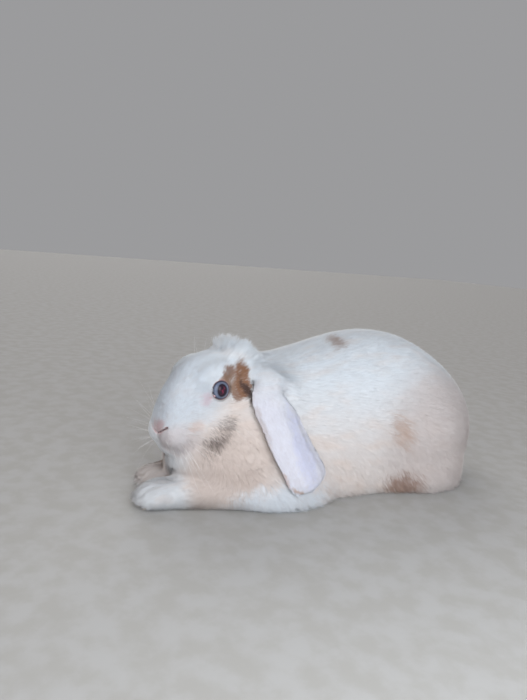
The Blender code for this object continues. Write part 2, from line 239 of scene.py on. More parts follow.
class Graph:
    """The nodes of one material."""

    def __init__(self, name: str) -> None:
        """Starts a material with one Principled shader."""
        self.material = bpy.data.materials.new(name)
        self.material.use_nodes = True
        self.tree = self.material.node_tree
        self.shader = self.tree.nodes["Principled BSDF"]

    def node(self, kind: str, settings: dict, inputs: dict) -> bpy.types.Node:
        """Makes one node.

        Args:
            kind: The node's type.
            settings: Its own settings.
            inputs: A number, colour or link for each socket, by name or place.

        Returns:
            The node.
        """
        made = self.tree.nodes.new(kind)
        for name, value in settings.items():
            setattr(made, name, value)
        for name, value in inputs.items():
            self.put(made.inputs[name], value)
        return made

    def put(self, socket: bpy.types.NodeSocket, value: object) -> None:
        """Sets a socket to a number or colour, or links it."""
        if isinstance(value, Value):
            value = value.socket
        if isinstance(value, bpy.types.NodeSocket):
            self.tree.links.new(value, socket)
        elif isinstance(value, tuple) and socket.type == "RGBA":
            socket.default_value = (*value, 1.0)
        else:
            socket.default_value = value

    def place(self) -> bpy.types.NodeSocket:
        """The place on the object, in metres."""
        return self.node("ShaderNodeTexCoord", {}, {}).outputs["Object"]

    def attribute(self, name: str) -> Value:
        """A number that the mesh carries."""
        return Value(self, self.node("ShaderNodeAttribute", {"attribute_name": name}, {}).outputs["Fac"])

    def vector(self, operation: str, inputs: dict) -> bpy.types.NodeSocket:
        """The vector that a Vector Math node gives."""
        return self.node("ShaderNodeVectorMath", {"operation": operation}, inputs).outputs[0]

    def colour_mix(
        self, first: object, second: object, share: Number, how: str = "MIX"
    ) -> bpy.types.NodeSocket:
        """Mixes two colours.

        Args:
            first: The colour at a share of 0.
            second: The colour at a share of 1.
            share: How much of the second.
            how: The Mix node's blend type.

        Returns:
            The socket of the mixed colour.
        """
        settings = {"data_type": "RGBA", "blend_type": how}
        return self.node("ShaderNodeMix", settings, {0: share, 6: first, 7: second}).outputs[2]

    def shaded(self, colour: object, shade: Colour, share: Value) -> bpy.types.NodeSocket:
        """A colour multiplied by a shade that clears as the share rises to 1."""
        return self.colour_mix(colour, self.colour_mix(shade, WHITE, share), 1.0, "MULTIPLY")

    def noise(self, place: bpy.types.NodeSocket, scale: float, detail: float) -> bpy.types.Node:
        """A Noise Texture node at a scale in waves a metre."""
        return self.node("ShaderNodeTexNoise", {}, {"Vector": place, "Scale": scale, "Detail": detail})

    def grain(self, place: bpy.types.NodeSocket, scale: float, detail: float) -> Value:
        """A noise as a number from 0 to 1."""
        return Value(self, self.noise(place, scale, detail).outputs["Fac"])

    def stretched(self, place: bpy.types.NodeSocket, scale: Triple) -> bpy.types.NodeSocket:
        """The place stretched along its axes."""
        return self.node("ShaderNodeMapping", {}, {"Vector": place, "Scale": scale}).outputs[0]

    def bump(self, height: Value, depth: float, strength: float = 1.0) -> None:
        """Sends a height to the shader's normal."""
        inputs = {"Height": height, "Distance": depth, "Strength": strength}
        self.put(self.shader.inputs["Normal"], self.node("ShaderNodeBump", {}, inputs).outputs[0])

    def finish(self, colour: object, roughness: Number, **constants: float) -> bpy.types.Material:
        """Sets the shader's colour, roughness and plain settings.

        Args:
            colour: The base colour, plain or linked.
            roughness: The roughness, plain or linked.
            constants: Other sockets by name, with _ for a space.

        Returns:
            The finished material.
        """
        self.put(self.shader.inputs["Base Color"], colour)
        self.put(self.shader.inputs["Roughness"], roughness)
        for name, value in constants.items():
            self.shader.inputs[name.replace("_", " ")].default_value = value
        return self.material


# Where things lie on the head


@dataclass(frozen=True)
class HeadPlace:
    """The head looks to its left. This turns places between the straight head and the body."""

    turn: float = math.radians(16.0)
    pivot: Triple = (0.0, -0.0580, 0.0)
    shift: Triple = (0.0, -0.01162, 0.0)

    def matrix(self) -> Array:
        """The turn about Z."""
        c, s = math.cos(self.turn), math.sin(self.turn)
        return np.array([[c, -s, 0.0], [s, c, 0.0], [0.0, 0.0, 1.0]])

    def to_body(self, points: Array) -> Array:
        """Places on the straight head, where the turned head has them."""
        pivot = np.array(self.pivot)
        return (np.asarray(points) - pivot) @ self.matrix().T + pivot + np.array(self.shift)

    def to_head(self, points: Array) -> Array:
        """Places on the turned head, where the straight head has them."""
        pivot = np.array(self.pivot)
        return (np.asarray(points) - pivot - np.array(self.shift)) @ self.matrix() + pivot

    def turned(self, vectors: Array) -> Array:
        """Directions on the straight head, as the turned head has them."""
        return np.asarray(vectors) @ self.matrix().T


@dataclass(frozen=True)
class EyePlace:
    """One eyeball in the straight head, with the way its opening and its pupil look."""

    side: float
    radius: float = 0.0080
    opening: float = 0.0064  # the radius of the round gap between the lids
    lateral: float = 0.0178
    along: float = -0.1010
    height: float = 0.0837
    opening_ahead: float = math.radians(15.0)
    gaze_ahead: float = math.radians(15.0)
    upward: float = math.radians(8.0)
    canthus: Triple = (0.0200, -0.1111, 0.0769)

    def centre(self) -> Array:
        """The middle of the eyeball."""
        return mirrored((self.lateral, self.along, self.height), self.side)

    def outward(self, ahead: float) -> Array:
        """A way out of the head, turned ahead by an angle and slightly up."""
        level = math.cos(self.upward)
        left = (math.cos(ahead) * level, -math.sin(ahead) * level, math.sin(self.upward))
        return mirrored(left, self.side)

    def axes(self, ahead: float) -> tuple[Array, Array, Array]:
        """Forward, upward and outward axes of the eye at an angle ahead."""
        out = self.outward(ahead)
        forward = unit(np.array([0.0, -1.0, 0.0]) + out * out[1])
        up = np.cross(out, forward) * self.side
        up = up if up[2] > 0 else -up
        return forward, up, out

    def corner(self) -> Array:
        """The front corner of the lids."""
        return mirrored(self.canthus, self.side)


HEAD_PLACE = HeadPlace()
EYES = {name: EyePlace(side) for name, side in SIDES.items()}


@dataclass(frozen=True)
class Form:
    """A soft swelling of the face, or a hollow where its push is below 0."""

    place: Triple
    reach: float
    push: float

    def over(self, spot: Array, side: float) -> Array:
        """How far it pushes each place out, on one side of the straight head."""
        return self.push * hump(gap_to(spot, mirrored(self.place, side)), self.reach)


@dataclass(frozen=True)
class Muzzle:
    """The nose, lips and whisker pads on the straight head, for the left side."""

    flow_start: Triple = (0.0, -0.1430, 0.0560)
    split_top: Triple = (0.0, -0.1375, 0.0530)
    split_end: Triple = (0.0, -0.1370, 0.0460)
    slit_end: Triple = (0.0092, -0.1320, 0.0584)
    lip: tuple[Triple, ...] = (
        (0.0000, -0.1370, 0.0460),
        (0.0042, -0.1350, 0.0425),
        (0.0085, -0.1300, 0.0392),
        (0.0115, -0.1220, 0.0368),
    )
    chin: Form = Form((0.0, -0.1315, 0.0405), reach=6.5 * MM, push=1.7 * MM)
    nose: Form = Form((0.0, -0.1375, 0.0575), reach=3.2 * MM, push=0.35 * MM)
    pad: Form = Form((0.0125, -0.1275, 0.0520), reach=6.5 * MM, push=1.5 * MM)
    upper_lip: Form = Form((0.0055, -0.1355, 0.0500), reach=3.6 * MM, push=1.0 * MM)
    brow: Form = Form((0.0185, -0.1000, 0.0955), reach=6.5 * MM, push=0.9 * MM)
    hollow: Form = Form((0.0175, -0.1185, 0.0740), reach=7.0 * MM, push=-1.0 * MM)
    cheek: Form = Form((0.0290, -0.0975, 0.0600), reach=10.0 * MM, push=1.2 * MM)
    furrow: Form = Form((0.0190, -0.1180, 0.0480), reach=5.0 * MM, push=-0.6 * MM)


MUZZLE = Muzzle()


@dataclass(frozen=True)
class PawPlace:
    """One forepaw: its side, the middle of its four toes, their spacing and their tips."""

    side: float
    x: float
    tip: float
    spread: float = 0.0066


PAWS = {
    "left": PawPlace(1.0, 0.0198, -0.1581),
    "right": PawPlace(-1.0, 0.0150, -0.1466),
}


# The coat's own sizes


@dataclass(frozen=True)
class Pelage:
    """The coat of one region: how deep it is and what its tufts are like."""

    depth: float  # from the skin to the tips
    length: float
    width: float
    spacing: float  # between roots
    swing: float  # how far tufts wander from the lie, in degrees
    clump: float  # how much neighbours lean together


# Each row: depth, length, width, spacing, swing and clump
PELAGES: dict[Region, Pelage] = {
    Region.HEAD: Pelage(2.6 * MM, 6.0 * MM, 0.36 * MM, 0.41 * MM, 8.0, 0.14),
    Region.NECK: Pelage(5.6 * MM, 12.0 * MM, 0.50 * MM, 0.56 * MM, 8.0, 0.18),
    Region.TRUNK: Pelage(5.8 * MM, 13.0 * MM, 0.52 * MM, 0.56 * MM, 7.5, 0.17),
    Region.TAIL: Pelage(4.2 * MM, 11.0 * MM, 0.50 * MM, 0.50 * MM, 12.0, 0.20),
    Region.FORELEG: Pelage(2.3 * MM, 7.0 * MM, 0.40 * MM, 0.44 * MM, 9.0, 0.16),
    Region.HIND_LEG: Pelage(5.6 * MM, 13.0 * MM, 0.52 * MM, 0.56 * MM, 8.0, 0.18),
    Region.EAR: Pelage(0.8 * MM, 3.6 * MM, 0.34 * MM, 0.43 * MM, 6.0, 0.05),
}


@dataclass(frozen=True)
class Spot:
    """A place on either half of the straight head, and how far it reaches."""

    place: Triple
    reach: float


JOWL = Spot((0.0300, -0.0850, 0.0480), 0.0200)
EAR_COVER = Spot((0.0240, -0.0620, 0.0900), 0.0130)
CROWN = Spot((0.0000, -0.0860, 0.1120), 0.0125)
POLL = Spot((0.0123, -0.0730, 0.1080), 0.0145)
NAPE = Spot((0.0090, -0.0570, 0.1050), 0.0130)


@dataclass
class CoatField:
    """What the coat is like at each vertex of the skin."""

    depth: Array
    length: Array
    width: Array
    density: Array
    swing: Array
    clump: Array
    stand: Array  # 0 for hair that lies down, 1 for hair that stands up

    def toward(self, share: Array, **targets: float) -> None:
        """Blends the named sizes towards their targets, as far as the share goes."""
        for name, target in targets.items():
            setattr(self, name, blend(getattr(self, name), target, share))

    def add(self, share: Array, **amounts: float) -> None:
        """Adds the named amounts, as far as the share goes."""
        for name, amount in amounts.items():
            setattr(self, name, getattr(self, name) + amount * share)

    @staticmethod
    def over(points: Array, shares: Array) -> "CoatField":
        """Works out the coat over a skin.

        Args:
            points: The skin's vertices.
            shares: How far each vertex belongs to each region, each row adding up to 1.

        Returns:
            The field.
        """
        def mixed(name: str) -> Array:
            """One of the sizes, mixed by the regions' shares."""
            return shares @ np.array([getattr(PELAGES[region], name) for region in REGIONS])

        density = shares @ np.array([PELAGES[region].spacing ** -2 for region in REGIONS])
        coat = CoatField(
            mixed("depth"), mixed("length"), mixed("width"), density, mixed("swing"), mixed("clump"),
            np.zeros(len(points)),
        )
        head, paws = shares[:, INDEX[Region.HEAD]], shares[:, INDEX[Region.FORELEG]]
        coat.dress_head(HEAD_PLACE.to_head(points), head)
        coat.dress_body(points, 1.0 - head, 1.0 - shares[:, INDEX[Region.EAR]], paws)
        return coat

    def dress_head(self, spot: Array, head: Array) -> None:
        """Shortens the hair of the snout and lids, and raises that of the crown.

        Args:
            spot: The vertices, as the straight head has them.
            head: How far each belongs to the head.
        """
        fold = np.abs(spot * np.array([1.0, 0.0, 0.0])) + spot * np.array([0.0, 1.0, 1.0])

        def near(where: Spot) -> Array:
            """How near a vertex is to a spot."""
            return head * hump(gap_to(fold, where.place), where.reach)

        def standing(where: Spot) -> Array:
            """Where the hair stands in tufts: full within half the reach."""
            return head * rise(gap_to(fold, where.place), where.reach, 0.5 * where.reach)

        snout = head * rise(-spot[:, 1], 0.1080, 0.1330)
        self.toward(snout, length=2.3 * MM, depth=0.9 * MM, width=0.27 * MM, density=(0.36 * MM) ** -2)
        self.add(near(JOWL), length=3.0 * MM, depth=0.9 * MM, clump=0.22)
        self.add(near(EAR_COVER), length=4.0 * MM)
        crown, poll, nape = standing(CROWN), standing(POLL), standing(NAPE)
        self.add(crown, length=4.6 * MM)
        self.add((1.0 - crown) * poll, length=6.4 * MM)
        self.add(nape, length=2.5 * MM)
        self.add(np.maximum(crown, poll), depth=1.2 * MM, swing=24.0, clump=0.42)
        self.stand += np.maximum(np.maximum(crown * 0.92, poll * 0.80), nape * 0.40)
        for eye in EYES.values():
            close = rise(gap_to(spot, eye.centre()), 0.0165, 0.0095)
            self.toward(close * 0.8, length=2.0 * MM)
            self.toward(close, depth=1.1 * MM, width=0.27 * MM)

    def dress_body(self, points: Array, off_head: Array, off_ears: Array, paws: Array) -> None:
        """Tousles the breast and the low flanks, and shortens the hair by the floor.

        Args:
            points: The vertices.
            off_head: How far each belongs elsewhere than to the head.
            off_ears: How far each belongs elsewhere than to the ears.
            paws: How far each belongs to the forelegs.
        """
        ahead, height = -points[:, 1], points[:, 2]
        low = off_head * rise(height, 0.020, 0.004)
        self.length *= 1.0 - 0.35 * low
        self.density *= 1.0 + 0.30 * low
        breast = off_head * rise(ahead, 0.112, 0.126) * rise(height, 0.014, 0.020)
        self.add(breast, length=2.0 * MM, stand=0.32)
        self.toward(paws * rise(ahead, 0.118, 0.145), length=6.5 * MM, swing=11.0)
        self.add(off_head * off_ears * rise(height, 0.020, 0.006), stand=0.10)
        tousled = off_head * off_ears * (1.0 - paws) * rise(height, 0.074, 0.034)
        self.add(tousled, clump=0.26, swing=5.0, stand=0.14)


PARTING = 14.0 * MM  # how far from the middle line the hair of each side lies its own way


def lie_of_the_hair(points: Array, normals: Array, shares: Array) -> Array:
    """The way the hair lies at each point of the skin.

    Args:
        points: Places on the skin.
        normals: The skin's outward directions there.
        shares: How far each place belongs to each region.

    Returns:
        A direction along the skin for each point.
    """
    x, y, z = points.T
    side = np.clip(x / PARTING, -1.0, 1.0)
    flank = np.clip(np.abs(normals[:, 0]), 0.0, 1.0)
    low = rise(z, 0.070, 0.012)
    stern = rise(y, 0.095, 0.150)
    front = rise(-y, 0.060, 0.095)

    def way(ax: Array | float, ay: Array | float, az: Array | float) -> Array:
        """One direction for each point."""
        return unit(np.stack([np.broadcast_to(a, x.shape) for a in (ax, ay, az)], axis=1))

    trunk = way(side * 0.10, 1.0 - 0.85 * stern, -(0.18 + 0.95 * low * flank + 1.3 * stern))
    chest = way(side * 0.12, 0.25, -1.0)
    trunk = unit(trunk * (1.0 - front[:, None]) + chest * front[:, None])
    neck = way(side * 0.15, 1.0 - 0.6 * front, -(0.25 + 0.8 * flank * rise(z, 0.10, 0.04)))
    tail = way(0.0, 0.30, 1.0)
    reach = rise(-y, 0.088, 0.118)
    forearm = way(-side * 0.10, -1.0, -0.22)
    foreleg = unit(chest * (1.0 - reach[:, None]) + forearm * reach[:, None])
    hind = way(side * 0.05, 0.95 - 0.75 * stern, -(0.40 + 0.9 * low + 0.6 * stern))
    spot = HEAD_PLACE.to_head(points)
    ahead = unit(spot - np.array(MUZZLE.flow_start))
    ahead[:, 2] -= 1.5 * rise(spot[:, 2], 0.074, 0.044) * rise(spot[:, 1], -0.134, -0.108)
    for eye in EYES.values():
        gap = spot - eye.centre()
        reach_of_eye = hump(np.linalg.norm(gap, axis=1), 0.0125)
        ahead += 0.9 * unit(gap) * reach_of_eye[:, None]
    head = HEAD_PLACE.turned(unit(ahead))
    top = rise(z, 0.080, 0.094)
    ear = unit(way(side * 0.36, 0.38, -0.85) * (1.0 - top[:, None]) + way(side, 0.2, -0.25) * top[:, None])
    ways = {
        Region.HEAD: head, Region.NECK: neck, Region.TRUNK: trunk, Region.TAIL: tail,
        Region.FORELEG: foreleg, Region.HIND_LEG: hind, Region.EAR: ear,
    }
    total = np.zeros_like(points)
    for index, region in enumerate(REGIONS):
        total += ways[region] * shares[:, index : index + 1]
    total -= normals * np.sum(total * normals, axis=1, keepdims=True)
    return unit(total)


# The skin


@dataclass
class Surface:
    """A mesh as arrays: its vertices, their normals, its edges and its triangles."""

    points: Array
    normals: Array
    edges: Array
    triangles: Array

    @staticmethod
    def of(mesh: bpy.types.Mesh) -> "Surface":
        """Reads a mesh."""
        mesh.calc_loop_triangles()
        points = np.empty(len(mesh.vertices) * 3)
        mesh.vertices.foreach_get("co", points)
        normals = np.empty(len(mesh.vertices) * 3)
        mesh.vertex_normals.foreach_get("vector", normals)
        edges = np.empty(len(mesh.edges) * 2, dtype=np.int64)
        mesh.edges.foreach_get("vertices", edges)
        triangles = np.empty(len(mesh.loop_triangles) * 3, dtype=np.int64)
        mesh.loop_triangles.foreach_get("vertices", triangles)
        return Surface(
            points.reshape(-1, 3), normals.reshape(-1, 3), edges.reshape(-1, 2), triangles.reshape(-1, 3)
        )

    def spread(self, values: Array, rounds: int) -> Array:
        """Evens out numbers or vectors that the vertices carry, by their neighbours' mean."""
        count = np.bincount(self.edges.ravel(), minlength=len(self.points)).astype(float)
        shape = values.reshape(len(self.points), -1)
        for _ in range(rounds):
            total = np.empty_like(shape)
            for column in range(shape.shape[1]):
                data = shape[:, column]
                total[:, column] = np.bincount(
                    self.edges[:, 0], data[self.edges[:, 1]], minlength=len(count)
                ) + np.bincount(self.edges[:, 1], data[self.edges[:, 0]], minlength=len(count))
            shape = 0.5 * shape + 0.5 * total / np.maximum(count, 1.0)[:, None]
        return shape.reshape(values.shape)

    def relaxed(self, rounds: int, swell: float = 1.04) -> Array:
        """The vertices smoothed without shrinking: each round draws in and swells again."""
        points = self.points
        for _ in range(rounds):
            drawn = self.spread(points, 1)
            points = drawn - swell * (self.spread(drawn, 1) - drawn)
        return points


def set_points(mesh: bpy.types.Mesh, points: Array) -> Surface:
    """Moves a mesh's vertices and reads it again."""
    mesh.vertices.foreach_set("co", np.ascontiguousarray(points, dtype=np.float64).ravel())
    mesh.update()
    return Surface.of(mesh)


def link(
    name: str, mesh: bpy.types.Mesh, material: bpy.types.Material | None = None
) -> bpy.types.Object:
    """Puts a mesh into a new smooth-shaded object at the origin."""
    made = bpy.data.objects.new(name, mesh)
    bpy.context.scene.collection.objects.link(made)
    mesh.polygons.foreach_set("use_smooth", np.ones(len(mesh.polygons), dtype=bool))
    if material is not None:
        mesh.materials.append(material)
    return made


def new_piece(
    name: str, bm: bmesh.types.BMesh, material: bpy.types.Material | None = None
) -> bpy.types.Object:
    """Puts a bmesh into a new smooth-shaded object at the origin, and frees it."""
    mesh = bpy.data.meshes.new(name)
    bm.to_mesh(mesh)
    bm.free()
    return link(name, mesh, material)


def add_numbers(mesh: bpy.types.Mesh, name: str, values: Array) -> None:
    """Gives each vertex of a mesh a number that its material reads."""
    made = mesh.attributes.new(name, "FLOAT", "POINT")
    made.data.foreach_set("value", np.asarray(values, dtype=np.float32))


def remeshed(bm: bmesh.types.BMesh, voxel: float) -> bpy.types.Mesh:
    """One closed surface over overlapping shells.

    Args:
        bm: The shells. It is freed.
        voxel: The grid's size.

    Returns:
        A new mesh of quads.
    """
    piece = new_piece("shells", bm)
    modifier = piece.modifiers.new("fuse", "REMESH")
    modifier.mode = "VOXEL"
    modifier.voxel_size = voxel
    graph = bpy.context.evaluated_depsgraph_get()
    made = bpy.data.meshes.new_from_object(piece.evaluated_get(graph))
    old = piece.data
    bpy.data.objects.remove(piece)
    bpy.data.meshes.remove(old)
    return made


def add_node(bm: bmesh.types.BMesh, name: str, swell: float) -> None:
    """Adds a merged copy of a solid to a bmesh, swelled along its normals."""
    part = bmesh.new()
    part.from_mesh(frame["nodes"][name].data)
    bmesh.ops.remove_doubles(part, verts=part.verts, dist=1e-6)
    part.normal_update()
    places = [vertex.co + vertex.normal * swell for vertex in part.verts]
    for vertex, place in zip(part.verts, places):
        vertex.co = place
    mesh = bpy.data.meshes.new("copy")
    part.to_mesh(mesh)
    part.free()
    bm.from_mesh(mesh)
    bpy.data.meshes.remove(mesh)


@dataclass
class Skin:
    """The one skin over all the flesh, with the features of the face and paws."""

    body_voxel: float = 1.6 * MM
    ear_voxel: float = 0.9 * MM
    ear_swell: float = 0.9 * MM  # thickens the ears' thin rims before they are remeshed
    ear_depth: float = 0.55 * MM  # from the ears' outline to their skin
    ear_hollow: float = 0.9 * MM  # of the inner face
    voxel: float = 1.45 * MM
    swell: float = 0.35 * MM  # closes the gaps between the solids
    ear_plug: Triple = (0.0220, -0.0640, 0.0900)
    ear_plug_size: Triple = (0.0115, 0.0100, 0.0075)
    ear_fillet: Triple = (0.0325, -0.0570, 0.0840)
    ear_fillet_size: Triple = (0.0070, 0.0085, 0.0085)
    ear_breadth: float = 2.6 * MM  # how far the rear edge swells
    toe_groove: float = 0.9 * MM
    lid_rise: float = 0.6 * MM
    lid_reach: float = 9.8 * MM  # from the eye's axis to where the lids run out
    lid_softness: float = 0.7 * MM
    lid_depth: float = 1.3 * MM  # how far the skin lies behind the eyeball's face
    piece: bpy.types.Object | None = None
    surface: Surface | None = None
    shares: Array = field(default_factory=lambda: np.zeros((0, 0)))
    bare: Array = field(default_factory=lambda: np.zeros(0))
    # Where the lids' edges and the cuts of the nose and lips are painted dark: partly dark skin, partly
    # painted shade in their depths.
    rim: Array = field(default_factory=lambda: np.zeros(0))

    def region_shares(self, surface: Surface) -> Array:
        """How far each vertex of the coat's outline belongs to each region but the ears."""
        reach = 9.0 * MM
        shares = np.zeros((len(surface.points), len(REGIONS)))
        for index, region in enumerate(REGIONS):
            if region is Region.EAR:
                continue
            for name in region.value:
                mesh = frame["nodes"][name].data
                tree = BVHTree.FromPolygons(
                    [vertex.co for vertex in mesh.vertices], [face.vertices[:] for face in mesh.polygons]
                )
                low, high = (np.array(corner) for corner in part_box(name))
                inside = np.all((surface.points > low - reach) & (surface.points < high + reach), axis=1)
                for vertex in np.flatnonzero(inside):
                    gap = tree.find_nearest(Vector(surface.points[vertex]), reach)[3]
                    if gap is not None:
                        share = (1.0 - gap / reach) ** 3
                        shares[vertex, index] = max(shares[vertex, index], share)
        shares += 1e-6
        shares[:, INDEX[Region.EAR]] = 0.0
        shares = surface.spread(shares, 4)
        return shares / shares.sum(axis=1, keepdims=True)

    def flesh(self) -> tuple[bpy.types.Mesh, Array]:
        """The flesh without the ears, drawn in by the depth of the coat, and its shares."""
        bm = bmesh.new()
        for name in (*FLESH, "eye_left", "eye_right"):
            if not name.startswith("ear"):
                add_node(bm, name, self.swell)
        mesh = remeshed(bm, self.body_voxel)
        surface = set_points(mesh, Surface.of(mesh).relaxed(4))
        shares = self.region_shares(surface)
        depth = CoatField.over(surface.points, shares).depth + self.swell
        depth = surface.spread(depth, 6)
        normals = unit(surface.spread(surface.normals, 3))
        depth = blend(depth, depth * 0.6, rise(surface.points[:, 2], 0.018, 0.004))
        sole = rise(surface.points[:, 2], 0.008, 0.000) * rise(-normals[:, 2], 0.2, 0.8)
        depth = blend(depth, np.minimum(depth, 1.2 * MM), sole)
        surface = set_points(mesh, surface.points - normals * depth[:, None])
        set_points(mesh, surface.relaxed(2))
        return mesh, shares

    def ear(self, side: str) -> bpy.types.Mesh:
        """One ear, swelled so that its rim outlasts the remeshing."""
        bm = bmesh.new()
        add_node(bm, "ear_" + side, self.ear_swell)
        mesh = remeshed(bm, self.ear_voxel)
        set_points(mesh, Surface.of(mesh).relaxed(4))
        return mesh

    def build(self) -> None:
        """Makes the skin, shapes it, and notes what each vertex is."""
        body, shares = self.flesh()
        ears = [self.ear(side) for side in SIDES]
        bm = bmesh.new()
        for mesh in (body, *ears):
            bm.from_mesh(mesh)
        for side in SIDES.values():
            for centre, size in (
                (self.ear_plug, self.ear_plug_size), (self.ear_fillet, self.ear_fillet_size)
            ):
                root = HEAD_PLACE.to_body(mirrored(centre, side))
                place = Matrix.Translation(Vector(root)) @ Matrix.Diagonal((*size, 1.0))
                bmesh.ops.create_icosphere(bm, subdivisions=3, radius=1.0, matrix=place)
        skin = remeshed(bm, self.voxel)
        set_points(skin, Surface.of(skin).relaxed(3))
        surface = self.refine(skin)
        self.shares = self.nearest_shares(surface, body, shares, ears)
        surface = self.soften_ear_roots(skin, surface)
        surface = self.lay_ears(skin, surface)
        surface = set_points(skin, self.sculpt_paws(surface))
        self.surface = set_points(skin, self.sculpt_face(surface))
        skin.name = "skin"
        self.piece = link("skin", skin)
        add_numbers(skin, "bare", self.bare)
        add_numbers(skin, "rim", self.rim)
        add_numbers(skin, "ear", self.shares[:, INDEX[Region.EAR]])

    def soften_ear_roots(self, mesh: bpy.types.Mesh, surface: Surface) -> Surface:
        """Rounds the join of each ear with the head, and lets the head's coat run out on it."""
        near, crease = np.zeros(len(surface.points)), np.zeros(len(surface.points))
        for side in SIDES.values():
            root = HEAD_PLACE.to_body(mirrored(self.ear_plug, side))
            near = np.maximum(near, rise(gap_to(surface.points, root), 0.030, 0.013))
            root = HEAD_PLACE.to_body(mirrored(self.ear_fillet, side))
            crease = np.maximum(crease, rise(gap_to(surface.points, root), 0.026, 0.012))
        for weight, rounds in ((near, 40), (crease, 60)):
            smooth = surface.spread(surface.points, rounds)
            surface = set_points(mesh, blend(surface.points, smooth, weight[:, None]))
        given = self.shares[:, INDEX[Region.EAR]] * 0.9 * np.maximum(near, crease * 0.8)
        self.shares[:, INDEX[Region.EAR]] -= given
        self.shares[:, INDEX[Region.HEAD]] += given
        self.shares = surface.spread(self.shares, 6)
        self.shares /= self.shares.sum(axis=1, keepdims=True)
        return surface

    def lay_ears(self, mesh: bpy.types.Mesh, surface: Surface) -> Surface:
        """Lays the ears' skin evenly under their outline, so that their rims are smooth and round."""
        points = surface.points.copy()
        weight = rise(self.shares[:, INDEX[Region.EAR]], 0.30, 0.80)
        for name, side in SIDES.items():
            bm = bmesh.new()
            add_node(bm, "ear_" + name, 0.0)
            tree = BVHTree.FromBMesh(bm)
            bm.free()
            face = unit(np.array([side * 0.92, 0.0, 0.38]))
            rear = unit(np.array([side * 0.33, 0.87, -0.35]))
            for index in np.flatnonzero((weight > 0.0) & (side * points[:, 0] > 0.0)):
                found = tree.find_nearest(Vector(points[index]))
                place, normal = np.array(found[0]), np.array(found[1])
                depth = self.ear_depth + self.ear_hollow * rise(-(normal @ face), 0.75, 0.97)
                edge = rise(normal @ rear, 0.1, 0.8) * rise(place[2], 0.018, 0.034)
                place = place + rear * (self.ear_breadth * edge)
                points[index] = blend(points[index], place - normal * depth, weight[index])
        surface = set_points(mesh, points)
        weight = rise(self.shares[:, INDEX[Region.EAR]], 0.1, 0.4)
        return set_points(mesh, blend(surface.points, surface.relaxed(9), weight[:, None]))

    def refine(self, mesh: bpy.types.Mesh) -> Surface:
        """Splits the faces round the eyes and the nose, where the shapes are small."""
        spots = [(eye.centre(), 0.0135, 0.0108) for eye in EYES.values()]
        spots.append((np.array(MUZZLE.nose.place), 0.0150, 0.0115))
        for step in (1, 2):
            bm = bmesh.new()
            bm.from_mesh(mesh)
            places = HEAD_PLACE.to_head(np.array([vertex.co[:] for vertex in bm.verts]))
            near = np.zeros(len(places), dtype=bool)
            for spot in spots:
                near |= gap_to(places, spot[0]) < spot[step]
            bm.verts.ensure_lookup_table()
            edges = [edge for edge in bm.edges if near[edge.verts[0].index] and near[edge.verts[1].index]]
            bmesh.ops.subdivide_edges(bm, edges=edges, cuts=1, use_grid_fill=True)
            bmesh.ops.triangulate(bm, faces=[face for face in bm.faces if len(face.verts) > 4])
            bm.to_mesh(mesh)
            bm.free()
        surface = Surface.of(mesh)
        places = HEAD_PLACE.to_head(surface.points)
        near = np.zeros(len(places))
        for spot in spots:
            near = np.maximum(near, rise(gap_to(places, spot[0]), 0.0165, 0.0120))
        return set_points(mesh, blend(surface.points, surface.relaxed(4), near[:, None]))

    def nearest_shares(
        self, surface: Surface, body: bpy.types.Mesh, shares: Array, ears: list[bpy.types.Mesh]
    ) -> Array:
        """Carries the regions' shares over from the flesh and the ears that the skin was made of.

        Args:
            surface: The skin.
            body: The flesh without the ears.
            shares: The flesh's own shares.
            ears: The two ears.

        Returns:
            The skin's shares.
        """
        ear_share = np.zeros((1, len(REGIONS)))
        ear_share[0, INDEX[Region.EAR]] = 1.0
        places = [Surface.of(mesh).points for mesh in (body, *ears)]
        known = np.vstack([shares, *(np.repeat(ear_share, len(points), axis=0) for points in places[1:])])
        tree = KDTree(len(known))
        for index, point in enumerate(np.vstack(places)):
            tree.insert(point, index)
        tree.balance()
        nearest = np.array([tree.find(point)[1] for point in surface.points])
        made = surface.spread(known[nearest], 5)
        return made / made.sum(axis=1, keepdims=True)

    def sculpt_paws(self, surface: Surface) -> Array:
        """Presses the furrows between the toes into the paws."""
        points, normals = surface.points, surface.normals
        share = self.shares[:, INDEX[Region.FORELEG]]
        top = rise(normals[:, 2] - normals[:, 1], 0.1, 0.6)
        for paw in PAWS.values():
            here = share * rise(paw.side * points[:, 0], 0.0, 0.004)
            here = here * rise(points[:, 1], paw.tip + 0.020, paw.tip + 0.008)
            for gap in (-1.0, 0.0, 1.0):
                middle = paw.side * paw.x + gap * paw.spread
                lean = 0.1 * (points[:, 1] - paw.tip) * paw.side
                groove = hump(points[:, 0] - middle - lean, 1.0 * MM)
                points = points - normals * (self.toe_groove * groove * here * top)[:, None]
        return points

    def sculpt_face(self, surface: Surface) -> Array:
        """Shapes the muzzle and the lids, and marks bare skin.

        Args:
            surface: The skin before its face is shaped.

        Returns:
            The vertices' new places.
        """
        spot = HEAD_PLACE.to_head(surface.points)
        normals = surface.normals @ HEAD_PLACE.matrix()
        head = self.shares[:, INDEX[Region.HEAD]]
        self.bare, self.rim = np.zeros(len(spot)), np.zeros(len(spot))
        spot = self.shape_muzzle(spot, normals, head)
        for eye in EYES.values():
            spot = self.shape_lids(spot, normals, eye)
        return HEAD_PLACE.to_body(spot)

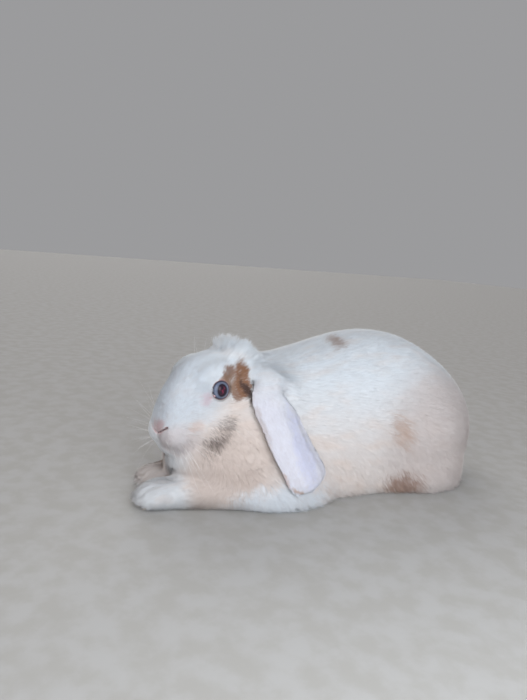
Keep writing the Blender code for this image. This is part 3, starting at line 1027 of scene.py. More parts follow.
    def shape_muzzle(self, spot: Array, normals: Array, head: Array) -> Array:
        """Swells the pads and lips, and cuts the nostrils, the split and the mouth."""
        muzzle = MUZZLE
        push = muzzle.chin.over(spot, 1.0) + muzzle.nose.over(spot, 1.0)
        for side in SIDES.values():
            for form in (
                muzzle.pad, muzzle.upper_lip, muzzle.brow, muzzle.hollow, muzzle.cheek, muzzle.furrow
            ):
                push += form.over(spot, side)
        cut, leather = np.zeros(len(spot)), np.zeros(len(spot))
        flat = np.array([1.0, 0.0, 1.0])
        front = rise(-spot[:, 1], 0.1260, 0.1300)
        for side in SIDES.values():
            inner, outer = np.array(MUZZLE.split_top), mirrored(MUZZLE.slit_end, side)
            bend = 0.5 * (inner + outer) + np.array([0.0, -0.0006, -0.0007])
            slit = away_from_line(spot * flat, np.array([inner, bend, outer]) * flat)
            open_end = rise(np.abs(spot[:, 0]), 0.0012, 0.0050)
            cut += front * (1.4 + 0.8 * open_end) * MM * hump(slit, 0.65 * MM)
            leather = np.maximum(leather, front * hump(slit, 1.15 * MM))
            lip = np.array([mirrored(point, side) for point in MUZZLE.lip])
            from_lip = away_from_line(spot, lip)
            cut += 1.4 * MM * hump(from_lip, 0.9 * MM)
            leather = np.maximum(leather, 0.60 * hump(from_lip, 1.0 * MM))
        split = away_from_line(spot * flat, np.array([MUZZLE.split_top, MUZZLE.split_end]) * flat)
        cut += 1.5 * MM * front * hump(split, 0.65 * MM)
        leather = np.maximum(leather, front * 0.95 * hump(split, 1.0 * MM))
        self.bare = np.maximum(self.bare, head * leather)
        # The cuts of the nostrils, split and lips get painted shade in their depths.
        self.rim = np.maximum(self.rim, head * np.clip(cut / (1.2 * MM), 0, 1) ** 1.5)
        return spot + normals * ((push - cut) * head)[:, None]

    def shape_lids(self, spot: Array, normals: Array, eye: EyePlace) -> Array:
        """Draws the skin up over the eyeball to the lids' edge, and under it inside the opening."""
        forward, up, out = eye.axes(eye.opening_ahead)
        gap = spot - eye.centre()
        height, ahead, above = gap @ out, gap @ forward, gap @ up
        far = np.hypot(ahead, above)
        ball = np.sqrt(np.maximum(eye.radius**2 - far**2, 0.0))
        lid = ball + self.lid_rise * (0.55 + 0.45 * rise(far, eye.opening, eye.opening + 0.7 * MM))
        lid *= rise(far, self.lid_reach - 0.2 * MM, self.lid_reach - 1.6 * MM)
        soft = self.lid_softness
        drawn = soft * np.logaddexp(height / soft, lid / soft)
        outside = (height > -0.001) & (far < self.lid_reach) & (far >= eye.opening)
        fade = rise(far, self.lid_reach, self.lid_reach - 1.0 * MM)
        height = np.where(outside, blend(height, drawn, fade), height)
        inside = (height > -0.001) & (far < eye.opening)
        height = np.where(inside, np.minimum(height, ball - self.lid_depth), height)
        made = eye.centre() + ahead[:, None] * forward + above[:, None] * up + height[:, None] * out
        spot = np.where((outside | inside)[:, None], made, spot)
        corner = eye.corner()
        start = eye.centre() + unit(corner - eye.centre()) * 7.2 * MM
        fold = away_from_line(spot, np.array([start, corner]))
        groove = hump(fold, 0.75 * MM) * (far > eye.opening + 0.2 * MM) * (height > 0)
        spot = spot - normals * (0.55 * MM * groove)[:, None]
        near_rim = hump(far - eye.opening - 0.2 * MM, 0.7 * MM) * (height > 0)
        # The lids' edge gets a dark rim: partly dark skin, partly painted shade under the lid.
        self.rim = np.maximum(self.rim, near_rim)
        wet = np.maximum(0.8 * hump(fold, 1.1 * MM), 0.6 * near_rim) * (height > 0)
        self.bare = np.maximum(self.bare, wet)
        return spot


# The markings and finishes


@dataclass(frozen=True)
class Patch:
    """A marking, a painted shade or a painted light: a soft-edged ellipsoid of coloured hair."""

    colour: Colour
    centre: Triple  # in millimetres
    radii: Triple  # in millimetres
    turn: Triple = (0.0, 0.0, 0.0)  # degrees
    strength: float = 1.0
    softness: float = 0.30
    mingle: float = 1.1  # how far single tufts differ near its edge

    def mask(self, graph: Graph, place: bpy.types.NodeSocket) -> Value:
        """How far a place is in the marking, from 0 to its strength."""
        inputs = {
            "Vector": place,
            "Location": tuple(v * MM for v in self.centre),
            "Rotation": tuple(math.radians(v) for v in self.turn),
            "Scale": tuple(v * MM for v in self.radii),
        }
        local = graph.node("ShaderNodeMapping", {"vector_type": "TEXTURE"}, inputs).outputs[0]
        length = graph.node("ShaderNodeVectorMath", {"operation": "LENGTH"}, {0: local}).outputs["Value"]
        return Value(graph, length).step(1.0 + self.softness, 1.0 - self.softness)


TAN: Colour = (0.285, 0.145, 0.085)
# Dark hairs at the ear's root, partly painted shadow in the crease between ear and cheek.
DARK_HAIR_AND_CREASE_SHADE: Colour = (0.075, 0.045, 0.040)
SMOKE: Colour = (0.20, 0.155, 0.140)
# Painted shade along the ear's front rim, where it turns in towards the chest.
EAR_RIM_SHADE: Colour = (0.52, 0.44, 0.42)
SOOT: Colour = (0.110, 0.085, 0.080)
# Partly the haunch's own beige-grey, partly painted shade where the light falls off towards the rump.
HAUNCH_BEIGE_AND_SHADE: Colour = (0.620, 0.555, 0.540)
# Painted shade: the forehead darker and bluer where it faces away from the light.
FOREHEAD_SHADE: Colour = (0.600, 0.655, 0.730)
BLUSH: Colour = (0.600, 0.500, 0.495)
OAT: Colour = (0.760, 0.620, 0.540)
# Painted light: the low fringe by the ear's tip paler and bluer, as the cool light falls on it.
FRINGE_COOL_LIGHT: Colour = (0.730, 0.800, 0.880)
FAWN: Colour = (0.340, 0.215, 0.155)
BISCUIT: Colour = (0.500, 0.340, 0.260)
PEACH: Colour = (0.72, 0.43, 0.30)
COPPER: Colour = (0.54, 0.34, 0.24)
# Rusty hair of the hind foot, partly painted shade where the thigh meets the floor.
RUST_AND_FLOOR_SHADE: Colour = (0.30, 0.17, 0.12)
PINK: Colour = (0.62, 0.40, 0.41)
LILAC: Colour = (0.70, 0.46, 0.52)
# Painted shade on the rear third of the ear, which turns away from the light.
EAR_REAR_SHADE: Colour = (0.62, 0.64, 0.82)

PATCHES: tuple[Patch, ...] = (
    # Haunch and rump darker: partly their own beige-grey, partly painted shade.
    Patch(HAUNCH_BEIGE_AND_SHADE, (58.0, 92.0, 44.0), (42.0, 62.0, 58.0), strength=0.82, softness=0.70, mingle=0.3),
    # Painted shade on the forehead.
    Patch(FOREHEAD_SHADE, (24.0, -134.0, 82.0), (24.0, 30.0, 26.0), strength=0.55, softness=0.85, mingle=0.3),
    Patch(BLUSH, (34.0, -136.0, 48.0), (13.0, 17.0, 12.0), strength=0.50, softness=0.95, mingle=0.4),
    Patch(OAT, (-15.0, -133.0, 11.0), (18.0, 24.0, 16.0), strength=0.45, softness=0.60, mingle=0.4),
    # Painted cool light on the low fringe.
    Patch(FRINGE_COOL_LIGHT, (52.0, -60.0, 6.0), (26.0, 36.0, 13.0), strength=0.75, softness=0.70, mingle=0.5),
    Patch(TAN, (29.0, -87.0, 91.5), (7.5, 6.3, 15.5), turn=(-3, -21, 0), softness=0.32, mingle=0.9),
    Patch(
        TAN, (32.0, -99.5, 94.5), (7.0, 12.0, 4.2),
        turn=(29, 0, 33), strength=0.88, softness=0.40, mingle=0.9,
    ),
    Patch(TAN, (33.0, -91.5, 83.0), (6.5, 6.5, 8.5), strength=0.90, softness=0.35, mingle=0.9),
    Patch(FAWN, (33.5, -97.5, 89.5), (5.5, 6.5, 8.0), strength=0.88, softness=0.45, mingle=0.7),
    # Dark hairs with painted crease shadow between ear and cheek.
    Patch(
        DARK_HAIR_AND_CREASE_SHADE, (32.4, -84.2, 82.0), (3.8, 2.3, 12.5),
        turn=(17, -17, 0), strength=0.92, softness=0.55, mingle=0.7,
    ),
    Patch(TAN, (-20.5, -101.0, 86.5), (7.0, 9.0, 9.0), turn=(10, 0, 0), strength=0.85, softness=0.45),
    Patch(
        SMOKE, (39.8, -105.5, 51.5), (7.5, 5.6, 14.5),
        turn=(-34, 0, 0), strength=0.64, softness=0.85, mingle=2.0,
    ),
    Patch(
        SOOT, (38.9, -109.0, 47.0), (5.5, 4.5, 7.0),
        turn=(-34, 0, 0), strength=0.48, softness=0.80, mingle=2.6,
    ),
    Patch(PEACH, (36.0, -122.6, 59.7), (5.0, 5.0, 3.8), strength=0.28, softness=0.80),
    Patch(
        TAN, (12.5, 0.5, 117.0), (11.5, 6.0, 9.0),
        turn=(0, 0, -14), strength=0.66, softness=0.75, mingle=1.9,
    ),
    Patch(
        BISCUIT, (59.5, 40.5, 51.5), (9.0, 7.5, 12.0),
        turn=(22, 0, 0), strength=0.62, softness=0.90, mingle=1.4,
    ),
    # Rusty hair with painted shade by the floor.
    Patch(RUST_AND_FLOOR_SHADE, (56.0, 49.0, 5.5), (12.0, 15.0, 10.0), strength=0.80, softness=0.80, mingle=1.4),
    # Painted shade down the ear's front rim.
    Patch(EAR_RIM_SHADE, (50.5, -76.5, 52.0), (3.4, 2.4, 30.0), turn=(17, -17, 0), strength=0.50, softness=0.60),
    # Painted shade on the ear's rear third.
    Patch(EAR_REAR_SHADE, (61.0, -52.0, 48.0), (8.0, 6.5, 32.0), turn=(13, -17, 0), strength=0.62, softness=0.60),
    Patch(COPPER, (62.9, -65.2, 23.6), (2.6, 1.4, 6.5), turn=(36, -25, 0), strength=0.50, softness=0.70),
    Patch(COPPER, (66.6, -54.5, 17.2), (2.8, 9.5, 1.3), turn=(-16, 0, -14), strength=0.70, softness=0.70),
    Patch(PINK, (25.0, -147.5, 57.0), (7.5, 5.5, 5.5), strength=0.60, softness=0.70),
    Patch(LILAC, (34.6, -115.0, 78.6), (3.2, 4.6, 3.6), turn=(30, 0, 0), strength=0.42, softness=0.80),
)


@dataclass(frozen=True)
class Markings:
    """The rabbit's colours by place, with some painted light and shade among them, shared by the skin and
    the coat.
    """

    # Cool white up high and warm cream low down and on the chest: partly the coat's own tones, partly
    # painted light and shade, cool where the light falls from above and warm in the shade below.
    cool: Colour = (0.780, 0.825, 0.875)
    warm: Colour = (0.810, 0.715, 0.665)
    ear: Colour = (0.740, 0.748, 0.840)
    dusk: Colour = (0.640, 0.545, 0.500)  # the breast under the chin, partly its own beige-grey and partly painted shadow under the chin
    wander: float = 0.012  # how far the markings' edges stray, in metres
    patches: tuple[Patch, ...] = PATCHES

    def colour(self, graph: Graph, place: bpy.types.NodeSocket, tone: Value) -> bpy.types.NodeSocket:
        """The coat's colour.

        Args:
            graph: The material that it is for.
            place: Where the hair grows.
            tone: A number from 0 to 1 that differs from hair to hair.

        Returns:
            The colour's socket.
        """
        axes = graph.node("ShaderNodeSeparateXYZ", {}, {0: place}).outputs
        wander = graph.noise(place, 95.0, 3.0).outputs["Color"]
        shift = graph.vector("SUBTRACT", {0: wander, 1: (0.5, 0.5, 0.5)})
        shift = graph.vector("SCALE", {0: shift, "Scale": self.wander})
        moved = graph.vector("ADD", {0: place, 1: shift})
        broad = graph.grain(place, 22.0, 2.0)
        along = graph.stretched(place, (1.0, 0.22, 0.60))
        streak = graph.grain(along, 170.0, 3.0).step(0.46, 0.72)
        # Warmer low down and on the chest: partly the coat's own cream, partly painted shade.
        low = Value(graph, axes["Z"]).step(0.100, 0.020)
        paw = Value(graph, axes["Y"]).step(-0.118, -0.134)
        chest = Patch(self.warm, (35.0, -88.0, 40.0), (40.0, 34.0, 38.0), softness=0.5)
        chest = chest.mask(graph, place)
        # The breast under the chin: partly its own beige-grey, partly painted shadow under the chin.
        throat = Patch(self.dusk, (42.0, -106.0, 26.0), (30.0, 34.0, 26.0), softness=0.6)
        throat = throat.mask(graph, place)
        share = (low * 0.75).highest(chest) * (1.0 - paw * 0.75)
        share = share * (0.72 + broad * 0.5) + streak * 0.30
        colour = graph.colour_mix(self.cool, self.warm, share)
        colour = graph.colour_mix(colour, self.dusk, throat * 0.85 * (1.0 - paw))
        ear = graph.attribute("ear")
        colour = graph.colour_mix(colour, self.ear, ear * 0.9)
        for patch in self.patches:
            mask = patch.mask(graph, moved)
            hairs = (mask + (tone - 0.6) * patch.mingle).step(0.12, 0.88)
            share = mask.step(0.0, 0.10) * hairs * patch.strength
            colour = graph.colour_mix(colour, patch.colour, share)
        return colour


@dataclass(frozen=True)
class CoatFinish:
    """Soft hair: paler towards the tips, each tuft a little different."""

    name: str
    markings: Markings = Markings()
    root_shade: Colour = (0.92, 0.885, 0.865)
    dull_shade: Colour = (0.89, 0.865, 0.85)
    roughness: float = 0.62
    sheen: float = 0.10

    def build(self) -> bpy.types.Material:
        """Makes the material."""
        graph = Graph(self.name)
        tone, along = graph.attribute("tone"), graph.attribute("along")
        seat = graph.node("ShaderNodeAttribute", {"attribute_name": "seat"}, {}).outputs["Vector"]
        colour = self.markings.colour(graph, seat, tone)
        colour = graph.shaded(colour, self.root_shade, along.step(-0.1, 0.75))
        colour = graph.shaded(colour, self.dull_shade, tone)
        roughness = tone * 0.14 + self.roughness
        return graph.finish(colour, roughness, Sheen_Weight=self.sheen, Sheen_Roughness=0.45)


@dataclass(frozen=True)
class SkinFinish:
    """The skin under the coat: the coat's own colours over pink skin, bare at the nose and lids, with
    painted shade in the cuts and at the lids' edges.
    """

    name: str = "short_hair_skin"
    markings: Markings = Markings()
    bare: Colour = (0.640, 0.385, 0.380)
    # Dark rims at the lids and in the cuts of the nose and lips: partly dark skin, partly painted shade.
    rim: Colour = (0.150, 0.075, 0.085)
    inner: Colour = (0.740, 0.600, 0.600)
    flush: Colour = (0.760, 0.540, 0.520)
    gaps: Colour = (0.860, 0.840, 0.840)

    def build(self) -> bpy.types.Material:
        """Makes the material."""
        graph = Graph(self.name)
        place = graph.place()
        fine = graph.grain(graph.stretched(place, (1.0, 0.35, 0.35)), 1900.0, 2.0)
        colour = self.markings.colour(graph, place, fine)
        colour = graph.colour_mix(colour, self.inner, 0.10)
        colour = graph.shaded(colour, self.gaps, fine.step(0.30, 0.70))
        bare, rim = graph.attribute("bare"), graph.attribute("rim")
        blotch = graph.grain(place, 420.0, 3.0)
        flesh = graph.colour_mix(self.bare, self.flush, blotch.step(0.35, 0.75))
        colour = graph.colour_mix(colour, flesh, bare.step(0.05, 0.85))
        # Painted shade in the cuts and at the lids' edges, over partly dark skin.
        colour = graph.colour_mix(colour, self.rim, rim.step(0.25, 1.0) * 0.85)
        graph.bump(fine, depth=0.5 * MM, strength=0.7)
        return graph.finish(colour, 0.78 - bare * 0.28, Sheen_Weight=0.10)


@dataclass(frozen=True)
class EyeFinish:
    """A wet blue-grey eye: pupil with a painted red reflection, fibred iris with a dark edge, under a clear
    coat.
    """

    name: str = "eye_blue"
    pupil: float = math.radians(28.5)
    limbus: float = math.radians(52.0)
    iris: Colour = (0.125, 0.150, 0.230)
    fibres: Colour = (0.230, 0.260, 0.350)
    ring: Colour = (0.025, 0.024, 0.050)  # of the iris, by the pupil
    edge: Colour = (0.022, 0.020, 0.036)  # of the iris, by the white
    depth: Colour = (0.014, 0.006, 0.016)  # of the pupil
    glow: Colour = (0.200, 0.022, 0.055)  # painted red reflection deep in the pupil
    white: Colour = (0.460, 0.410, 0.500)

    def build(self) -> bpy.types.Material:
        """Makes the material."""
        graph = Graph(self.name)
        angle, around, tall = (graph.attribute(name) for name in ("angle", "around", "tall"))
        spread = graph.node("ShaderNodeCombineXYZ", {}, {0: angle * 1.3, 1: around * 9.0, 2: 0.0})
        fibre = graph.grain(spread.outputs[0], 3.0, 4.0)
        iris = graph.colour_mix(self.iris, self.fibres, fibre.step(0.38, 0.72))
        ring = tall.step(self.pupil + 0.16, self.pupil + 0.02)
        iris = graph.colour_mix(iris, self.ring, ring * 0.45)
        edge = angle.step(self.limbus - 0.26, self.limbus - 0.02)
        iris = graph.colour_mix(iris, self.edge, edge * 0.9)
        # Where the painted red reflection shows in the pupil.
        glow = graph.grain(graph.place(), 380.0, 3.0).step(0.42, 0.64)
        deep = tall.step(self.pupil * 0.80, self.pupil * 0.25)
        pupil = graph.colour_mix(self.depth, self.glow, glow * deep)
        beyond = (tall + fibre * 0.03).step(self.pupil - 0.03, self.pupil + 0.04)
        colour = graph.colour_mix(pupil, iris, beyond)
        white = angle.step(self.limbus + 0.02, self.limbus + 0.14)
        colour = graph.colour_mix(colour, self.white, white)
        return graph.finish(colour, 0.30, Coat_Weight=0.8, Coat_Roughness=0.06, Coat_IOR=1.36, IOR=1.36)


@dataclass(frozen=True)
class WetFinish:
    """Moist pink membrane."""

    name: str = "wet_pink"
    colour: Colour = (0.60, 0.37, 0.41)
    pale: Colour = (0.68, 0.47, 0.50)

    def build(self) -> bpy.types.Material:
        """Makes the material."""
        graph = Graph(self.name)
        vein = graph.grain(graph.place(), 900.0, 4.0)
        colour = graph.colour_mix(self.colour, self.pale, vein.step(0.40, 0.65))
        graph.bump(vein, depth=0.08 * MM)
        return graph.finish(colour, 0.26, Coat_Weight=0.6, Coat_Roughness=0.12)


@dataclass(frozen=True)
class HornFinish:
    """Pale horn, pinker at the quick and fibred lengthwise."""

    name: str = "claw_horn"
    horn: Colour = (0.60, 0.52, 0.44)
    quick: Colour = (0.58, 0.33, 0.31)
    fibres: Colour = (0.74, 0.68, 0.60)

    def build(self) -> bpy.types.Material:
        """Makes the material."""
        graph = Graph(self.name)
        along = graph.attribute("along")
        fibre = graph.grain(graph.stretched(graph.place(), (1.0, 0.15, 1.0)), 2600.0, 3.0)
        colour = graph.colour_mix(self.quick, self.horn, along.step(0.25, 0.75))
        colour = graph.colour_mix(colour, self.fibres, fibre.step(0.42, 0.70) * 0.6)
        graph.bump(fibre, depth=0.06 * MM)
        return graph.finish(colour, 0.34 + fibre * 0.10)


@dataclass(frozen=True)
class WhiskerFinish:
    """White bristle that clears towards its tip."""

    name: str = "whisker"
    root: Colour = (0.80, 0.74, 0.70)
    tip: Colour = (0.90, 0.90, 0.92)

    def build(self) -> bpy.types.Material:
        """Makes the material."""
        graph = Graph(self.name)
        along = graph.attribute("along")
        colour = graph.colour_mix(self.root, self.tip, along.step(0.0, 0.5))
        return graph.finish(colour, 0.36 + along * 0.1)


@dataclass(frozen=True)
class FloorFinish:
    """A plain pale floor with the faintest grain."""

    name: str = "pale_floor"
    colour: Colour = (0.43, 0.415, 0.395)
    pale: Colour = (0.47, 0.46, 0.45)

    def build(self) -> bpy.types.Material:
        """Makes the material."""
        graph = Graph(self.name)
        grain = graph.grain(graph.place(), 60.0, 4.0)
        colour = graph.colour_mix(self.colour, self.pale, grain.step(0.35, 0.65))
        return graph.finish(colour, 0.85)


# Eyes, whiskers and claws


@dataclass
class Eye:
    """An eyeball with a swelled cornea, and the pink haw in its front corner."""

    side: str
    finish: bpy.types.Material
    wet: bpy.types.Material
    cornea: float = 0.45 * MM  # how far the cornea swells
    cornea_reach: float = 0.62  # radians
    haw_size: Triple = (1.8 * MM, 0.9 * MM, 0.34 * MM)
    haw_taper: float = 0.35

    def build(self) -> list[bpy.types.Object]:
        """Makes the ball and the haw."""
        place = EYES[self.side]
        forward, up, out = place.axes(place.gaze_ahead)
        bm = bmesh.new()
        bmesh.ops.create_uvsphere(bm, u_segments=72, v_segments=48, radius=place.radius)
        local = np.array([vertex.co[:] for vertex in bm.verts])
        angle = np.arccos(np.clip(local[:, 2] / place.radius, -1, 1))
        around = np.arctan2(local[:, 1], local[:, 0])
        local = local + unit(local) * (self.cornea * hump(angle, self.cornea_reach))[:, None]
        turned = local[:, :1] * forward + local[:, 1:2] * up + local[:, 2:] * out
        world = HEAD_PLACE.to_body(place.centre() + turned)
        for vertex, co in zip(bm.verts, world):
            vertex.co = co
        bmesh.ops.recalc_face_normals(bm, faces=bm.faces)
        ball = new_piece("eyeball_" + self.side, bm, self.finish)
        add_numbers(ball.data, "angle", angle)
        add_numbers(ball.data, "around", np.abs(around))
        oval = np.hypot(np.cos(around) * 1.10, np.sin(around) * 0.84)  # the pupil is taller than wide
        add_numbers(ball.data, "tall", angle * oval)
        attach(ball, BODY)
        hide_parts("eye_" + self.side)
        return [ball, self.haw(place)]

    def haw(self, place: EyePlace) -> bpy.types.Object:
        """The small third lid that shows at the front corner."""
        way = unit(place.corner() - place.centre())
        _, _, out = place.axes(place.opening_ahead)
        middle = place.centre() + unit(way + 0.30 * out) * (place.radius - 0.12 * MM)
        across = unit(np.cross(way, out))
        thick = unit(middle - place.centre())
        length = unit(np.cross(across, thick))
        bm = bmesh.new()
        bmesh.ops.create_icosphere(bm, subdivisions=3, radius=1.0)
        local = np.array([vertex.co[:] for vertex in bm.verts]) * np.array(self.haw_size)
        share = np.clip(local[:, :1] / (2.0 * MM), -1, 1) * np.sign(length @ way)
        taper = 1.0 - self.haw_taper * share
        turned = local[:, :1] * length + local[:, 1:2] * taper * across + local[:, 2:] * thick
        for vertex, co in zip(bm.verts, HEAD_PLACE.to_body(middle + turned)):
            vertex.co = co
        bmesh.ops.recalc_face_normals(bm, faces=bm.faces)
        haw = new_piece("haw_" + self.side, bm, self.wet)
        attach(haw, BODY)
        return haw


@dataclass(frozen=True)
class Bristle:
    """One long stiff hair: where it starts, which way it goes and droops, how long it is."""

    root: Array
    way: Array
    droop: Array
    length: float


@dataclass
class Whiskers:
    """The whiskers of the muzzle, brow and cheek, as one mesh of three-sided bristles."""

    finish: bpy.types.Material
    rows: int = 5
    columns: int = 5
    steps: int = 7
    radius: float = 0.085 * MM
    sag: float = 0.35  # how far a tip droops, as a share of the length
    seed: int = 5

    def bristles(self, tree: BVHTree) -> list[Bristle]:
        """Where every bristle stands and how it sweeps."""
        rng = np.random.default_rng(self.seed)
        made: list[Bristle] = []
        for side in SIDES.values():
            for row in range(self.rows):
                for column in range(self.columns - (row % 2)):
                    v, u = row / (self.rows - 1), column / (self.columns - 1)
                    place = (0.0085 + 0.0065 * u, -0.1345 + 0.0125 * u, 0.0572 - 0.0125 * v)
                    way = (0.80 - 0.10 * u, -0.42 + 0.50 * u, 0.42 - 0.95 * v)
                    length = (0.020 + 0.022 * u) * rng.uniform(0.8, 1.1)
                    made.append(self.bristle(tree, side, place, way, (0, 0.35, -0.25), length, rng))
            for index in range(4):
                place = (0.0145 + 0.001 * index, -0.0975 + 0.004 * index, 0.0985)
                way = (0.45, 0.10 + 0.1 * index, 1.0)
                made.append(self.bristle(tree, side, place, way, (0.1, 0.5, 0.0), 0.016, rng))
            for index in range(2):
                place = (0.030, -0.096 + 0.006 * index, 0.060)
                made.append(self.bristle(tree, side, place, (1.0, -0.2, -0.2), (0, 0.4, -0.3), 0.018, rng))
        return made

    def bristle(
        self, tree: BVHTree, side: float, place: Triple, way: Triple, droop: Triple, length: float,
        rng: np.random.Generator,
    ) -> Bristle:
        """One bristle, set on the skin nearest to a place of the straight head."""
        spot = HEAD_PLACE.to_body(mirrored(place, side) + rng.normal(0, 0.4 * MM, 3))
        root = np.array(tree.find_nearest(Vector(spot))[0])
        turned = HEAD_PLACE.turned(unit(mirrored(way, side) + rng.normal(0, 0.10, 3)))
        return Bristle(root, turned, HEAD_PLACE.turned(mirrored(droop, side)), length)

    def build(self, tree: BVHTree) -> bpy.types.Object:
        """Makes all the bristles as one piece."""
        shares = np.linspace(0.0, 1.0, self.steps)
        turns = np.arange(3) * math.tau / 3
        points, along, faces = [], [], []
        for bristle in self.bristles(tree):
            base = len(points)
            side = unit(np.cross(bristle.way, np.array([0.0, 0.0, 1.0])))
            other = np.cross(side, bristle.way)
            for share in shares:
                middle = bristle.root + bristle.way * bristle.length * share
                middle = middle + bristle.droop * bristle.length * share**2 * self.sag
                middle[2] = max(middle[2], 0.6 * MM)
                radius = self.radius * (1.0 - 0.85 * share)
                for turn in turns:
                    points.append(middle + radius * (math.cos(turn) * side + math.sin(turn) * other))
                    along.append(share)
            for step in range(self.steps - 1):
                for i in range(3):
                    a, b = base + step * 3 + i, base + step * 3 + (i + 1) % 3
                    faces.append((a, b, b + 3, a + 3))
            faces.append((base, base + 2, base + 1))
            end = base + (self.steps - 1) * 3
            faces.append((end, end + 1, end + 2))
        mesh = bpy.data.meshes.new("whiskers")
        mesh.from_pydata([tuple(point) for point in points], [], faces)
        bm = bmesh.new()
        bm.from_mesh(mesh)
        bmesh.ops.recalc_face_normals(bm, faces=bm.faces)
        bm.to_mesh(mesh)
        bm.free()
        piece = link("whiskers", mesh, self.finish)
        add_numbers(mesh, "along", np.array(along))
        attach(piece, BODY)
        return piece


@dataclass
class Claws:
    """The curved claws of one foot, mostly hidden in its hair."""

    name: str
    finish: bpy.types.Material
    tips: tuple[Triple, ...]
    length: float = 7.5 * MM
    radius: float = 1.25 * MM
    point: float = 0.12 * MM  # the radius of its end
    bends: int = 5
    narrow: float = 0.72  # the claw's width as a share of its height
    curve: float = 0.25  # how far the tip hooks down, as a share of the length

    def build(self) -> bpy.types.Object:
        """Makes the foot's claws as one piece."""
        bm = bmesh.new()
        along: list[float] = []
        for tip in self.tips:
            start = len(bm.verts)
            bmesh.ops.create_cone(
                bm, cap_ends=True, segments=10, radius1=self.radius, radius2=self.point,
                depth=self.length, matrix=Matrix.Translation((0, 0, self.length / 2)),
            )
            long_edges = [
                edge for edge in bm.edges
                if abs(edge.verts[0].co.z - edge.verts[1].co.z) > 0.5 * self.length
            ]
            bmesh.ops.subdivide_edges(bm, edges=long_edges, cuts=self.bends)
            bm.verts.ensure_lookup_table()
            for vertex in bm.verts[start:]:
                share = vertex.co.z / self.length
                hook = self.curve * self.length * share**2
                x, y = tip[0] + vertex.co.x * self.narrow, tip[1] + self.length - vertex.co.z
                vertex.co = Vector((x, y, tip[2] + vertex.co.y - hook))
                along.append(share)
        bmesh.ops.recalc_face_normals(bm, faces=bm.faces)
        piece = new_piece(self.name, bm, self.finish)
        add_numbers(piece.data, "along", np.array(along))
        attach(piece, BODY)
        return piece


# The coat


@dataclass
class Tufts:
    """Every tuft of the coat, as arrays with one row each."""

    root: Array
    normal: Array
    way: Array
    length: Array
    width: Array
    depth: Array
    stand: Array
    swing: Array
    clump: Array
    lock: Array  # three numbers that the tufts of one lock share
    shares: Array
    triangle: Array
    corner_shares: Array

    def where(self, chosen: Array) -> "Tufts":
        """The chosen tufts alone."""
        return Tufts(*(getattr(self, name)[chosen] for name in self.__dataclass_fields__))


